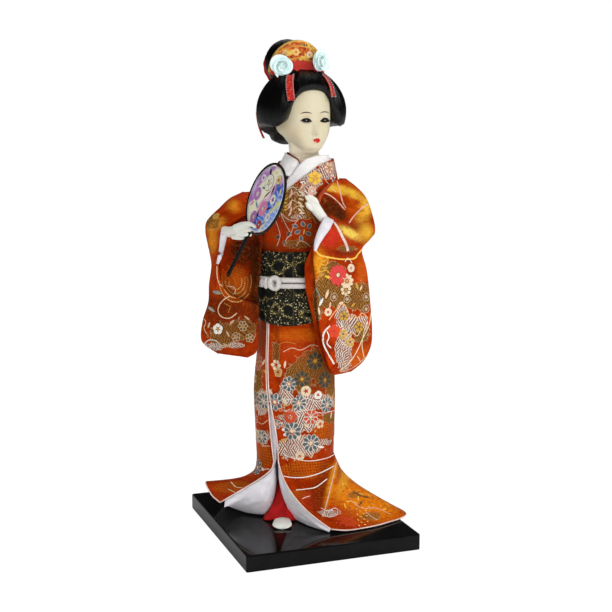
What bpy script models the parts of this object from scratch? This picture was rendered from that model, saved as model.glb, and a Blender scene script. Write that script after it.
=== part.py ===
"""A dressed display doll on a flat base: lacquered base, hidden dowel and padded body, robe
with a spreading hem, wide sleeves, sash with cord and drum knot, collars, head, wig with its
ornaments, hands and a round fan.

The doll is drawn in its own frame in millimetres: x to its left, y to its back and z up, with
the origin at the underside of the base. An empty turns that frame on the base.
"""
import bpy
import bmesh
from math import sin, cos, asin, atan2, pi, radians, sqrt, exp
from mathutils import Vector, Matrix

MM = 0.001

# Clearances and cloth
GAP = 0.3                    # touching pieces stay this far apart
CLOTH = 0.8                  # robe cloth with its backing
LINING = 0.7                 # facings, cuffs and collars
SEAT_GAP = 0.4               # cloth round the padded body

# Base and what stands on it
BASE_WIDTH = 110.0
BASE_DEPTH = 123.0
BASE_HEIGHT = 10.3
BASE_EDGE = 0.9
STAND_Y = 8.0                # the doll stands this far behind the middle of the base
STAND_TURN = -20.0           # degrees
DOWEL_RADIUS = 2.5
DOWEL_X = -1.0
DOWEL_Y = 4.0
DOWEL_IN_BASE = 6.0
DOWEL_IN_BODY = 30.0

# Robe column and waist
WAIST_X = -0.9
WAIST_HALF_WIDTH = 22.0
WAIST_HALF_DEPTH = 18.5
SKIRT_TOP = 150.0
KNEE_HEIGHT = 48.0           # below this the skirt spreads
BODICE_FOOT = 171.0
BODY_YAW = -14.0             # degrees, chest against the line of sight

# Sash
SASH_THICKNESS = 2.4
SASH_TOP = 178.5
SASH_FRONT_FOOT = 133.0
SASH_RISE = 17.0             # the lower edge climbs this much to the back
CORD_RADIUS = 1.7
CORD_HEIGHT = 159.8
DRUM_WIDTH = 30.0
DRUM_HEIGHT = 34.0
DRUM_DEPTH = 10.0

# Head and wig
HEAD_X = 3.7
HEAD_Y = 0.0
HEAD_YAW = 27.0              # degrees
NECK_FOOT = 222.4
WIG_CENTRE_Z = 262.0
WIG_HALF_WIDTH = 27.8
WIG_FRONT = 21.5
WIG_BACK = 25.0
WIG_UP = 27.0
WIG_DOWN = 30.0
TOP_KNOT_RADIUS = 14.0
COMB_HALF_WIDTH = 17.0
COMB_HEIGHT = 18.6
COMB_THICKNESS = 2.4
ROSE_RADIUS = 6.8
ROSE_HEIGHT = 5.0
RIBBON_WIDTH = 4.3
RIBBON_THICKNESS = 0.6

# Fan
FAN_RADIUS = 22.3
FAN_RIM_RADIUS = 0.9
FAN_LEAF = 0.8
HANDLE_WIDTH = 3.8
HANDLE_THICKNESS = 1.8
HANDLE_REACH = 53.0          # from the middle of the leaf to the end of the handle


def removeOldObjects():
    for old in list(bpy.data.objects):
        bpy.data.objects.remove(old, do_unlink=True)


removeOldObjects()
parts = bpy.data.collections.new("display_doll")
cutters = bpy.data.collections.new("cutters")
for group in (parts, cutters):
    bpy.context.scene.collection.children.link(group)

stand = bpy.data.objects.new("doll_stand", None)
stand.location = (0, STAND_Y * MM, 0)
stand.rotation_euler = (0, 0, radians(STAND_TURN))
parts.objects.link(stand)


# Materials

def material(name, colour, roughness, metallic=0.0):
    made = bpy.data.materials.new(name)
    made.use_nodes = True
    shader = made.node_tree.nodes["Principled BSDF"]
    shader.inputs["Base Color"].default_value = (*colour, 1.0)
    shader.inputs["Roughness"].default_value = roughness
    shader.inputs["Metallic"].default_value = metallic
    return made


lacquer = material("black_lacquer", (0.012, 0.012, 0.013), 0.12)
wood = material("dowel_wood", (0.55, 0.38, 0.2), 0.6)
padding = material("padding", (0.8, 0.76, 0.68), 0.9)
wire = material("steel_wire", (0.5, 0.5, 0.5), 0.4, 1.0)
brocade = material("orange_brocade", (0.66, 0.12, 0.015), 0.4)
whiteSatin = material("white_satin", (0.75, 0.72, 0.74), 0.5)
redCloth = material("red_cloth", (0.5, 0.012, 0.015), 0.6)
sashCloth = material("sash_brocade", (0.02, 0.022, 0.015), 0.5)
cordWhite = material("white_cord", (0.8, 0.77, 0.75), 0.7)
skin = material("ivory_face", (0.85, 0.76, 0.58), 0.35)
handWhite = material("white_hand", (0.8, 0.78, 0.7), 0.4)
hair = material("black_hair", (0.008, 0.008, 0.009), 0.3)
combCloth = material("comb_brocade", (0.6, 0.12, 0.02), 0.4)
rosePale = material("pale_aqua_ribbon", (0.6, 0.78, 0.76), 0.5)
fanPaper = material("fan_print", (0.35, 0.4, 0.75), 0.4)
fanBlack = material("fan_frame", (0.015, 0.015, 0.015), 0.3)


# Small tools

def between(a, b, t):
    return a + (b - a) * t


def ease(t):
    t = min(max(t, 0.0), 1.0)
    return t * t * (3 - 2 * t)


def hump(value, middle, spread):
    return exp(-((value - middle) / spread) ** 2)


def atStation(stations, value):
    """Values between stations, each (key, a, b, ...), read straight from one to the next."""
    if value <= stations[0][0]:
        return stations[0][1:]
    for low, high in zip(stations, stations[1:]):
        if value <= high[0]:
            t = (value - low[0]) / (high[0] - low[0])
            return tuple(between(a, b, t) for a, b in zip(low[1:], high[1:]))
    return stations[-1][1:]


def smoothStation(stations, value):
    """As atStation, eased with the slopes on both sides, so a profile has no corners."""
    keys = [s[0] for s in stations]
    if value <= keys[0]:
        return stations[0][1:]
    if value >= keys[-1]:
        return stations[-1][1:]
    i = next(k for k in range(len(keys) - 1) if value <= keys[k + 1])
    before = stations[max(i - 1, 0)]
    low, high = stations[i], stations[i + 1]
    after = stations[min(i + 2, len(stations) - 1)]
    span = high[0] - low[0]
    t = (value - low[0]) / span
    result = []
    for k in range(1, len(low)):
        slopeLow = (high[k] - before[k]) / max(high[0] - before[0], 1e-6) * span
        slopeHigh = (after[k] - low[k]) / max(after[0] - low[0], 1e-6) * span
        h00 = 2 * t ** 3 - 3 * t ** 2 + 1
        h10 = t ** 3 - 2 * t ** 2 + t
        h01 = 3 * t ** 2 - 2 * t ** 3
        h11 = t ** 3 - t ** 2
        result.append(h00 * low[k] + h10 * slopeLow + h01 * high[k] + h11 * slopeHigh)
    return tuple(result)


def curveThrough(points, t):
    """A point on the smooth curve through a few chosen points, t from 0 to 1."""
    stations = [(i / (len(points) - 1), *p) for i, p in enumerate(points)]
    return Vector(smoothStation(stations, t))


def bend(start, corner, end, t, tight=1.0):
    """A bend from start to end, drawn to its corner more the tighter it is."""
    first, middle, last = (1 - t) ** 2, 2 * tight * t * (1 - t), t ** 2
    return (start * first + corner * middle + end * last) / (first + middle + last)


def fractions(count):
    return [i / count for i in range(count + 1)]


def turned(x, y, angle):
    a = radians(angle)
    return x * cos(a) - y * sin(a), x * sin(a) + y * cos(a)


# Building meshes

def addObject(name, mesh, look, onStand=True, group=parts):
    made = bpy.data.objects.new(name, mesh)
    mesh.materials.append(look)
    group.objects.link(made)
    if onStand:
        made.parent = stand
    return made


def meshFrom(name, points, faces):
    mesh = bpy.data.meshes.new(name)
    mesh.from_pydata([Vector(p) * MM for p in points], [], faces)
    mesh.update()
    return mesh


def smoothShade(mesh, degrees=40):
    mesh.shade_smooth()
    mesh.set_sharp_from_angle(angle=radians(degrees))


def faceOutwards(mesh):
    editing = bmesh.new()
    editing.from_mesh(mesh)
    bmesh.ops.recalc_face_normals(editing, faces=editing.faces)
    editing.to_mesh(mesh)
    editing.free()


def gridFaces(rows, columns, wrap=False):
    faces = []
    for i in range(rows - 1):
        for j in range(columns if wrap else columns - 1):
            k = (j + 1) % columns
            faces.append((i * columns + j, (i + 1) * columns + j, (i + 1) * columns + k, i * columns + k))
    return faces


def sheet(name, grid, thickness, look, wrap=False, flip=False):
    """Cloth: rows of points, given thickness on the side that its faces turn away from."""
    points = [p for row in grid for p in row]
    mesh = meshFrom(name, points, gridFaces(len(grid), len(grid[0]), wrap))
    if flip:
        mesh.flip_normals()
    smoothShade(mesh, 50)
    made = addObject(name, mesh, look)
    solidify = made.modifiers.new("thickness", "SOLIDIFY")
    solidify.thickness = thickness * MM
    solidify.offset = -1
    solidify.use_even_offset = False
    return made


def loft(name, rings, look, degrees=40, onStand=True, group=parts):
    """A closed solid through rings with the same number of points, its ends capped."""
    count = len(rings[0])
    points = [p for ring in rings for p in ring]
    faces = gridFaces(len(rings), count, wrap=True)
    last = (len(rings) - 1) * count
    faces.append(tuple(range(count)))
    faces.append(tuple(last + j for j in reversed(range(count))))
    mesh = meshFrom(name, points, faces)
    faceOutwards(mesh)
    smoothShade(mesh, degrees)
    return addObject(name, mesh, look, onStand, group)


def ellipseRing(centre, halfWidth, halfDepth, count, yaw=0.0):
    """A level ring, first point to the front, going round to the doll's left."""
    ring = []
    for j in range(count):
        a = 2 * pi * j / count
        x, y = turned(halfWidth * sin(a), -halfDepth * cos(a), yaw)
        ring.append((centre[0] + x, centre[1] + y, centre[2]))
    return ring


def stickAlong(name, start, end, halfWidth, halfThickness, across, look, count=8, group=parts):
    """A straight flat stick with rounded section between two points."""
    start, end, across = Vector(start), Vector(end), Vector(across).normalized()
    along = (end - start).normalized()
    through = along.cross(across)
    rings = []
    for end_ in (start, end):
        ring = []
        for j in range(count):
            a = 2 * pi * (j + 0.5) / count
            side = max(min(cos(a) * 1.3, 1), -1) * halfWidth
            lift = max(min(sin(a) * 1.3, 1), -1) * halfThickness
            ring.append(end_ + across * side + through * lift)
        rings.append(ring)
    return loft(name, rings, look, 30, group=group)


def wireThrough(name, route, radius, look, samples=10, resolution=1):
    """A bent wire or cord: a polyline read from a smooth curve through its route."""
    data = bpy.data.curves.new(name, "CURVE")
    data.dimensions = "3D"
    data.bevel_depth = radius * MM
    data.bevel_resolution = resolution
    data.use_fill_caps = True
    line = data.splines.new("POLY")
    line.points.add(samples)
    for point, t in zip(line.points, fractions(samples)):
        point.co = (*(curveThrough(route, t) * MM), 1)
    return addObject(name, data, look)


def hiddenCutter(made):
    made.hide_render = True
    made.display_type = "WIRE"
    return made


def cutWith(made, cutter):
    cut = made.modifiers.new("clear_of_" + cutter.name, "BOOLEAN")
    cut.operation = "DIFFERENCE"
    cut.solver = "EXACT"
    cut.object = cutter


# Base, dowel and feet

def makeBase():
    bpy.ops.mesh.primitive_cube_add(size=1)
    base = bpy.context.object
    base.name = "base_plinth"
    base.data.transform(Matrix.Diagonal((BASE_WIDTH * MM, BASE_DEPTH * MM, BASE_HEIGHT * MM, 1)))
    base.data.transform(Matrix.Translation((0, 0, BASE_HEIGHT * MM / 2)))
    base.data.materials.append(lacquer)
    for owner in list(base.users_collection):
        owner.objects.unlink(base)
    parts.objects.link(base)
    edge = base.modifiers.new("eased_edges", "BEVEL")
    edge.width = BASE_EDGE * MM
    edge.segments = 2
    hole = ellipseStack("dowel_hole", DOWEL_RADIUS + GAP, BASE_HEIGHT - DOWEL_IN_BASE, BASE_HEIGHT + 5)
    cutWith(base, hole)
    return base


def ellipseStack(name, radius, foot, top):
    rings = [ellipseRing((DOWEL_X, DOWEL_Y, z), radius, radius, 16) for z in (foot, top)]
    return hiddenCutter(loft(name, rings, wood, group=cutters))


def makeDowel():
    foot = BASE_HEIGHT - DOWEL_IN_BASE + GAP
    top = BODY_FOOT + DOWEL_IN_BODY
    rings = [ellipseRing((DOWEL_X, DOWEL_Y, z), DOWEL_RADIUS, DOWEL_RADIUS, 16) for z in (foot, top)]
    return loft("stand_dowel", rings, wood)


def makeFoot(name, x, toe, length=20.0, width=12.0, height=5.6):
    """A foot in a white sock: sections from the round toe back to the heel."""
    sections = [(0.0, 0.45, 0.45), (0.05, 0.8, 0.75), (0.18, 1.0, 0.95), (0.45, 0.92, 1.0),
                (0.75, 0.75, 1.0), (0.95, 0.6, 0.8), (1.0, 0.35, 0.5)]
    rings = []
    for back, wide, tall in sections:
        ring = []
        for j in range(12):
            a = 2 * pi * j / 12
            up = height * tall * (0.5 - 0.5 * cos(a))
            side = width * 0.5 * wide * sin(a)
            ring.append((x + side, toe + back * length, BASE_HEIGHT + GAP + up))
        rings.append(ring)
    return loft(name, rings, handWhite)


# The body's own shape, which all cloth is fitted to

def bodySection(z):
    """Middle and half sizes of the dressed column and chest at a height."""
    stations = [(30, -0.5, 0.0, 23.6, 20.0), (56, -0.6, 0.0, 24.8, 20.3), (90, -0.95, 0.0, 25.6, 20.5),
                (117, -0.5, 0.0, 23.6, 19.3), (134, WAIST_X, 0.0, WAIST_HALF_WIDTH, WAIST_HALF_DEPTH),
                (178, WAIST_X, 0.0, WAIST_HALF_WIDTH, WAIST_HALF_DEPTH), (195, 0.0, 0.0, 23.4, 18.2),
                (210, 1.2, 0.2, 24.6, 17.6), (220, 3.6, 0.6, 22.4, 17.0), (228, 6.0, 1.6, 18.6, 16.2),
                (236, 6.8, 2.6, 16.2, 15.2)]
    return smoothStation(stations, z)


def bodyPoint(phi, z, offset=0.0):
    """On the dressed column at angle phi from the front, moved out by the offset."""
    cx, cy, halfWidth, halfDepth = bodySection(z)
    return Vector((cx + (halfWidth + offset) * sin(phi), cy - (halfDepth + offset) * cos(phi), z))


BODY_FOOT = 61.0
BODY_TOP = 222.0


def makeBodyCore():
    inset = CLOTH + LINING + 3 * SEAT_GAP
    heights = [BODY_FOOT, 70, 90, 117, 134, 178, 198, 206, BODY_TOP]
    taper = {BODY_FOOT: 11.0, 70: 6.0, 90: 3.0, 206: 3.2, BODY_TOP: 3.2}
    rings = []
    for z in heights:
        shrink = inset + taper.get(z, 0.0)
        rings.append([bodyPoint(2 * pi * j / 18, z, -shrink) for j in range(18)])
    core = loft("padded_body", rings, padding)
    top = BODY_FOOT + DOWEL_IN_BODY + GAP
    cutWith(core, ellipseStack("dowel_socket", DOWEL_RADIUS + GAP, BODY_FOOT - 5, top))
    return core


# Skirt: a column that opens at the front and spreads into two wings and a train

SLIT = [(44, -28.0, 2.6), (50, -29.2, 3.6), (61, -31.0, 4.4), (72, -33.5, 3.6), (85, -37.2, 1.9),
        (96, -41.0, 1.6), (117, -46.5, 1.5), (150, -47.5, 1.5)]

# (way round from the left panel's front edge, then x, y, z)
HEM = [(0.0, 22.0, -45.4, 12.9), (0.06, 31.0, -43.8, 11.8), (0.13, 42.0, -39.0, 11.6),
       (0.2, 55.0, -30.5, 11.6), (0.27, 69.5, -14.5, 11.6), (0.33, 62.0, 4.0, 11.5),
       (0.42, 44.0, 26.0, 11.5), (0.52, 20.0, 42.0, 11.5), (0.62, -6.0, 46.0, 11.5),
       (0.72, -30.0, 40.0, 12.5), (0.82, -47.0, 26.0, 17.5), (0.9, -58.0, 5.0, 27.0),
       (0.95, -53.5, -9.0, 23.0), (1.0, -47.4, -20.0, 21.5)]
# (way round, then x, y, z of the bend and how tight it is)
BEND = [(0.0, -7.0, -31.0, 27.0, 1.0), (0.06, 1.0, -32.0, 26.0, 1.0), (0.13, 10.0, -31.0, 24.0, 1.1),
        (0.2, 22.0, -22.0, 25.0, 1.5), (0.27, 29.5, -5.0, 31.0, 2.0), (0.33, 29.0, 4.0, 29.0, 1.6),
        (0.42, 26.0, 14.0, 22.0, 1.0), (0.52, 12.0, 23.0, 18.0, 1.0), (0.62, -4.0, 24.0, 18.0, 1.0),
        (0.72, -18.0, 20.0, 22.0, 1.2), (0.82, -24.5, 9.0, 29.5, 2.0), (0.9, -24.0, -5.0, 33.0, 2.6),
        (0.95, -19.5, -14.5, 36.0, 2.6), (1.0, -13.8, -20.0, 41.6, 2.6)]


def slitAngle(z):
    return radians(smoothStation(SLIT, z)[0])


def columnPoint(way, z):
    start = slitAngle(z)
    gap = smoothStation(SLIT, z)[1] / 2 / bodySection(z)[2]
    fold = 1.3 * hump(way, 0.035, 0.014) + 0.5 * hump(way, 0.12, 0.03)
    return bodyPoint(start + gap + (2 * pi - 2 * gap) * way, z, -fold)


def skirtPoint(way, down):
    """On the skirt's outer face: way round from 0 to 1, down from 0 at the top to 2 at the hem.
    The first half of down is the column, and the second half spreads to the hem."""
    if down <= 1:
        return columnPoint(way, between(SKIRT_TOP, KNEE_HEIGHT, down))
    t = down - 1
    knee = columnPoint(way, KNEE_HEIGHT)
    cornerX, cornerY, cornerZ, tight = atStation(BEND, way)
    point = bend(knee, Vector((cornerX, cornerY, cornerZ)), Vector(atStation(HEM, way)), t, tight)
    ridge = 0.275 - 0.265 * t
    pleat = 4.0 * hump(way, ridge, 0.022 if way < ridge else 0.05) * sin(pi * min(t * 1.05, 1)) ** 0.6
    outwards = Vector((point.x, point.y, 0)).normalized()
    return point + outwards * pleat


def skirtNormal(way, down):
    step = 0.004
    low, high = max(way - step, 0), min(way + step, 1)
    alongWay = skirtPoint(high, down) - skirtPoint(low, down)
    alongDown = skirtPoint(way, min(down + 0.02, 2)) - skirtPoint(way, max(down - 0.02, 0))
    return alongDown.cross(alongWay).normalized()


SKIRT_ROWS = [0, 0.2, 0.4, 0.6, 0.8, 0.92, 1.0, 1.15, 1.3, 1.44, 1.58, 1.72, 1.86, 2.0]
SKIRT_WAYS = [0, 0.018, 0.035, 0.052, 0.08, 0.105, 0.13, 0.155, 0.18, 0.205, 0.225, 0.25, 0.27, 0.3,
              0.33, 0.375, 0.42, 0.47, 0.52, 0.57, 0.62, 0.67, 0.72, 0.77, 0.82, 0.86, 0.9, 0.925,
              0.95, 0.975, 1.0]


def makeSkirt():
    grid = [[skirtPoint(way, down) for way in SKIRT_WAYS] for down in SKIRT_ROWS]
    return sheet("robe_skirt", grid, CLOTH, brocade)


# White facings: a strip behind the slit, then curtains from the wings' front edges to the base

UNDER = CLOTH + GAP + 0.1
FLOOR = BASE_HEIGHT + GAP + LINING

LEFT_FOOT_LINE = [(1.0, -10.4, -16.4, 46.0), (1.15, -9.6, -20.6, 34.0), (1.3, -6.2, -21.0, 22.0),
                  (1.44, -1.6, -20.6, FLOOR + 1.0), (1.58, 1.5, -24.0, FLOOR), (1.72, 7.5, -32.5, FLOOR),
                  (1.86, 15.0, -39.6, FLOOR), (2.0, 20.6, -43.6, FLOOR)]
RIGHT_FOOT_LINE = [(1.0, -13.2, -15.8, 46.0), (1.15, -12.2, -17.0, 33.0), (1.3, -14.6, -15.6, 20.0),
                   (1.44, -19.4, -14.0, FLOOR), (1.58, -24.0, -13.8, FLOOR), (1.72, -30.0, -11.5, FLOOR),
                   (1.86, -37.5, -9.0, FLOOR + 1.5), (2.0, -45.8, -18.4, 19.9)]


def facingPoint(edgeWay, footLine, down, across, belly):
    edge = skirtPoint(edgeWay, down) - skirtNormal(edgeWay, down) * UNDER
    foot = Vector(atStation(footLine, down))
    point = edge.lerp(foot, across)
    fullness = belly * sin(pi * across) * ease((down - 1) / 0.4)
    point += Vector((0, -fullness, -0.3 * fullness))
    point.z = max(point.z, FLOOR)
    return point


def stripPoint(down, across):
    """The strip behind the slit, from under the right panel to under the left one."""
    z = between(SKIRT_TOP, KNEE_HEIGHT, down)
    halfGap = smoothStation(SLIT, z)[1] / 2
    far = between(halfGap + 2.0, -0.4, ease((down - 0.78) / 0.22))
    return bodyPoint(slitAngle(z) + between(-halfGap - 1.0, far, across) / bodySection(z)[2], z, -UNDER)


def makeFacings():
    across = fractions(5)
    spread = [down for down in SKIRT_ROWS if down > 1]
    left = [[facingPoint(0.0, LEFT_FOOT_LINE, min(down, 1.96), c, 1.2) for c in across] for down in spread]
    sheet("facing_left", left, LINING, whiteSatin)
    right = [[stripPoint(down, c) for c in across] for down in SKIRT_ROWS if 0.1 < down <= 1]
    right += [[facingPoint(0.994, RIGHT_FOOT_LINE, min(down, 1.94), c, 4.2) for c in across] for down in spread]
    sheet("facing_right", right, LINING, whiteSatin)


def makeUnderskirt():
    """Red cloth round the legs, its front hem lifted over the foot."""
    stations = [(BASE_HEIGHT + GAP, -9.5, -6.0, 9.0, 20.0), (20, -7.5, -4.5, 8.5, 15.5),
                (32, -5.0, -3.0, 8.5, 12.5), (BODY_FOOT - SEAT_GAP, -1.0, 0.5, 9.0, 10.5)]
    rows = []
    for t in fractions(5):
        row = []
        for j in range(18):
            a = 2 * pi * j / 18
            foot = BASE_HEIGHT + 2 * GAP + 6.8 * hump(sin(a / 2), 0, 0.3)
            z = between(BODY_FOOT - SEAT_GAP, foot, t)
            cx, cy, halfWidth, halfDepth = atStation(stations, z)
            cx = between(cx, -1.0, ease((1 - cos(a)) / 2))
            row.append(Vector((cx + halfWidth * sin(a), cy - halfDepth * cos(a), z)))
        rows.append(row)
    return sheet("underskirt", rows, CLOTH, redCloth, wrap=True)


# Bodice, sash and cord

# (degrees round from the front, height of the robe's neckline)
NECKLINE = [(-180, 233.0), (-100, 232.0), (-68, 230.0), (-44, 226.0), (-32, 219.5), (-22, 214.5), (-12, 218.5),
            (-3, 222.4), (10, 226.6), (28, 230.8), (55, 232.8), (95, 233.8), (180, 233.0)]
NECK_WAYS = [-180, -157, -134, -112, -92, -74, -58, -44, -36, -28, -22, -15, -8, 0, 10, 20, 32, 46, 62, 80, 98,
             118, 138, 159]


def makeBodice():
    """The chest of the robe, its neckline crossing low at the front."""
    rows = []
    for t in fractions(6):
        row = []
        for way in NECK_WAYS:
            top = atStation(NECKLINE, way)[0]
            row.append(bodyPoint(radians(way), between(top, BODICE_FOOT, t)))
        rows.append(row)
    return sheet("robe_bodice", rows, CLOTH, brocade, wrap=True)


def sashSize():
    return (WAIST_HALF_WIDTH + SEAT_GAP + SASH_THICKNESS, WAIST_HALF_DEPTH + SEAT_GAP + SASH_THICKNESS)


def makeSash():
    halfWidth, halfDepth = sashSize()
    rows = []
    for t in fractions(2):
        row = []
        for j in range(32):
            phi = 2 * pi * j / 32
            foot = SASH_FRONT_FOOT + SASH_RISE * sin((phi - radians(BODY_YAW)) / 2) ** 2
            z = between(SASH_TOP, foot, t)
            row.append(Vector((WAIST_X + halfWidth * sin(phi), -halfDepth * cos(phi), z)))
        rows.append(row)
    return sheet("sash", rows, SASH_THICKNESS, sashCloth, wrap=True)


def sashRoute(offset, z, degrees):
    """Round the sash at a height, from one side of the drum knot to the other."""
    halfWidth, halfDepth = sashSize()
    points = []
    for t in fractions(16):
        phi = radians(BODY_YAW + between(-degrees, degrees, t))
        points.append((WAIST_X + (halfWidth + offset) * sin(phi), -(halfDepth + offset) * cos(phi), z))
    return points


def makeCord():
    for name, side in (("sash_cord_upper", 1), ("sash_cord_lower", -1)):
        z = CORD_HEIGHT + side * (CORD_RADIUS + GAP / 2)
        wireThrough(name, sashRoute(CORD_RADIUS + GAP, z, 132), CORD_RADIUS, cordWhite, 24, 0)
    knot = sashRoute(2 * CORD_RADIUS + 2 * GAP + 2.0, CORD_HEIGHT, 0)[0]
    angle = radians(-24)
    halfWidth, halfDepth = sashSize()
    out = 2 * CORD_RADIUS + 2 * GAP + 2.1
    middle = Vector((WAIST_X + (halfWidth + out) * sin(angle), -(halfDepth + out) * cos(angle), knot[2]))
    rings = []
    for t in (-0.98, -0.8, -0.4, 0, 0.4, 0.8, 0.98):
        spread = sqrt(1 - t * t)
        ring = []
        for j in range(12):
            a = 2 * pi * j / 12
            x, y = turned(4.3 * spread * cos(a), 2.0 * spread * sin(a), degreesOf(angle))
            ring.append((middle.x + x, middle.y + y, middle.z + 4.6 * t))
        rings.append(ring)
    return loft("sash_cord_knot", rings, cordWhite)


def degreesOf(angle):
    return angle * 180 / pi


def makeDrumKnot():
    """The sash's knot at the back: a rounded drum with the end folded up into it."""
    halfDepth = sashSize()[1]
    profile = [(0.0, -0.5), (0.55, -0.5), (0.85, -0.42), (1.0, -0.2), (1.0, 0.1), (0.86, 0.36),
               (0.55, 0.5), (0.0, 0.5)]
    rings = []
    for t in (-1.0, -0.92, -0.5, 0.0, 0.5, 0.92, 1.0):
        swell = 0.88 if abs(t) == 1 else 1.0
        across = t * DRUM_WIDTH / 2
        curve = 0.016 * across * across
        ring = []
        for out, up in profile:
            y = halfDepth + GAP + 0.5 + out * DRUM_DEPTH * swell - curve * (0.9 if out > 0 else 0.0)
            x, y = turned(across, y, BODY_YAW)
            ring.append((WAIST_X + x, y, 157.5 + up * DRUM_HEIGHT * swell))
        rings.append(ring)
    return loft("sash_drum_knot", rings, sashCloth, 35)


# Collars: white bands inside the robe's neckline, the left one passing under the right one

# (degrees round, upper edge, lower edge, how far inside the robe)
COLLAR = [(-14, 228.0, 223.0, 2.7), (-22, 231.6, 224.0, 2.7), (-36, 234.2, 224.0, 1.6), (-80, 237.2, 229.0, 0.0),
          (-130, 236.6, 230.5, 0.0), (-180, 235.6, 231.0, 0.0), (-230, 235.4, 231.0, 0.0),
          (-265, 235.4, 231.4, 0.0), (-295, 236.1, 230.4, 0.0), (-332, 235.8, 228.0, 0.0),
          (-350, 234.8, 224.0, 0.0), (-363, 233.6, 220.0, 0.0), (-378, 229.6, 215.5, 0.0),
          (-388, 223.0, 214.0, 0.0)]
COLLAR_TILT = 1.6


def makeCollar(name, look, columns, first=0.0, last=1.0, further=0.0, raised=0.0):
    """Part of the collar band, moved further inside and raised where it lines another."""
    rows = [[], [], []]
    stations = [(i / (len(COLLAR) - 1), *station) for i, station in enumerate(COLLAR)]
    for t in fractions(columns):
        way, upper, lower, inside = smoothStation(stations, between(first, last, t))
        for row, s in zip(rows, (0.0, 0.5, 1.0)):
            depth = UNDER + inside + further + COLLAR_TILT * (1 - s)
            row.append(bodyPoint(radians(way), between(upper + raised, lower + 3 * raised, s), -depth))
    return sheet(name, rows, LINING, look, flip=True)


# Sleeves: arm tubes blended into a hanging bag, open towards the body

def armDepth(x, z, start, end, radius):
    """How far an arm's round front stands out at x, z, or None beside it."""
    start, end = Vector(start), Vector(end)
    lineX, lineZ = end.x - start.x, end.z - start.z
    t = ((x - start.x) * lineX + (z - start.z) * lineZ) / (lineX ** 2 + lineZ ** 2)
    t = min(max(t, 0), 1)
    axis = start.lerp(end, t)
    distance = sqrt((x - axis.x) ** 2 + (z - axis.z) ** 2) / radius
    return axis.y, exp(-(distance ** 2) * 1.1)


def sleevePoint(sleeve, across, z, front):
    """On the sleeve: across from 0 at the opening to 1 at the outer edge."""
    outer = smoothStation(sleeve["outer"], z)[0]
    inner = smoothStation(sleeve["inner_front" if front else "inner_back"], z)[0]
    x = between(inner, outer, across)
    innerY, outerY, half = smoothStation(sleeve["plane"], z)
    wide = smoothStation(sleeve["inner_back"], z)[0]
    middle = between(innerY, outerY, min(max((x - wide) / (outer - wide), 0), 1))
    roundEdge = max(sqrt(max(1 - across ** 4, 0.0)), 0.45)
    side = -1 if front else 1
    y = middle + side * half * roundEdge
    for start, end, radius in sleeve["arms"]:
        axisY, weight = armDepth(x, z, start, end, radius)
        target = axisY + side * radius * roundEdge
        y = between(y, target, weight * (1 if front else 0.6))
    for creaseX, creaseZ, slope, depth in sleeve["creases"]:
        away = (z - creaseZ - slope * (x - creaseX)) / 3.2
        if front:
            y += depth * exp(-away * away) * exp(-((x - creaseX) / 16) ** 2)
    return clearOfBody(Vector((x, y, z)))


def clearOfBody(point, clearance=CLOTH + 2 * GAP):
    """Moves a point that would lie in the dressed body out to its surface, over the cord too."""
    cx, cy, halfWidth, halfDepth = bodySection(point.z)
    clearance += (2 * CORD_RADIUS + GAP) * ease((13 - abs(point.z - CORD_HEIGHT)) / 8)
    if SASH_FRONT_FOOT - 3 < point.z < SASH_TOP + 3:
        halfWidth, halfDepth = sashSize()
    halfWidth, halfDepth = halfWidth + clearance, halfDepth + clearance
    reach = sqrt(((point.x - cx) / halfWidth) ** 2 + ((point.y - cy) / halfDepth) ** 2)
    if reach >= 1:
        return point
    return Vector((cx + (point.x - cx) / reach, cy + (point.y - cy) / reach, point.z))


LEFT_SLEEVE = {
    "outer": [(103.0, 34.0), (107.0, 39.5), (112.6, 44.0), (122.7, 47.2), (147.3, 45.9), (166.7, 43.6),
              (179, 40.8), (184.7, 45.3), (189.2, 48.6), (200, 47.0), (210.6, 43.0), (216.4, 37.6),
              (221.5, 31.0)],
    "inner_front": [(103.0, 23.4), (107.0, 21.0), (119.7, 17.0), (136, 14.3), (155, 12.4), (167, 11.6),
                    (179, 10.8), (184, 12.4), (192, 16.5), (199, 22.8), (204, 24.4), (212, 26.0), (221.5, 26.8)],
    "inner_back": [(103.0, 21.4), (107.0, 19.0), (120.6, 13.8), (142.3, 9.4), (155, 6.4), (167, 5.4),
                   (172, 5.7), (181, 9.5), (192, 14.0), (203, 24.0), (212, 26.0), (221.5, 26.8)],
    "plane": [(103.0, -22.0, -11.0, 2.4), (108, -23.5, -11.0, 2.8), (130, -25.5, -9.0, 3.0),
              (172, -27.5, -8.0, 3.4), (190, -26.0, -6.0, 4.2), (203, -12.0, -3.0, 6.0),
              (214, -2.0, -1.0, 5.5), (221.5, 1.0, 0.0, 3.0)],
    "arms": [((26.0, 2.0, 214.0), (43.0, -5.0, 193.0), 8.6), ((43.0, -7.0, 190.0), (20.0, -24.0, 192.0), 7.6)],
    "creases": [(26.0, 175.5, -0.05, 3.2), (26.0, 205.0, -0.35, 3.6)],
}
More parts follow.
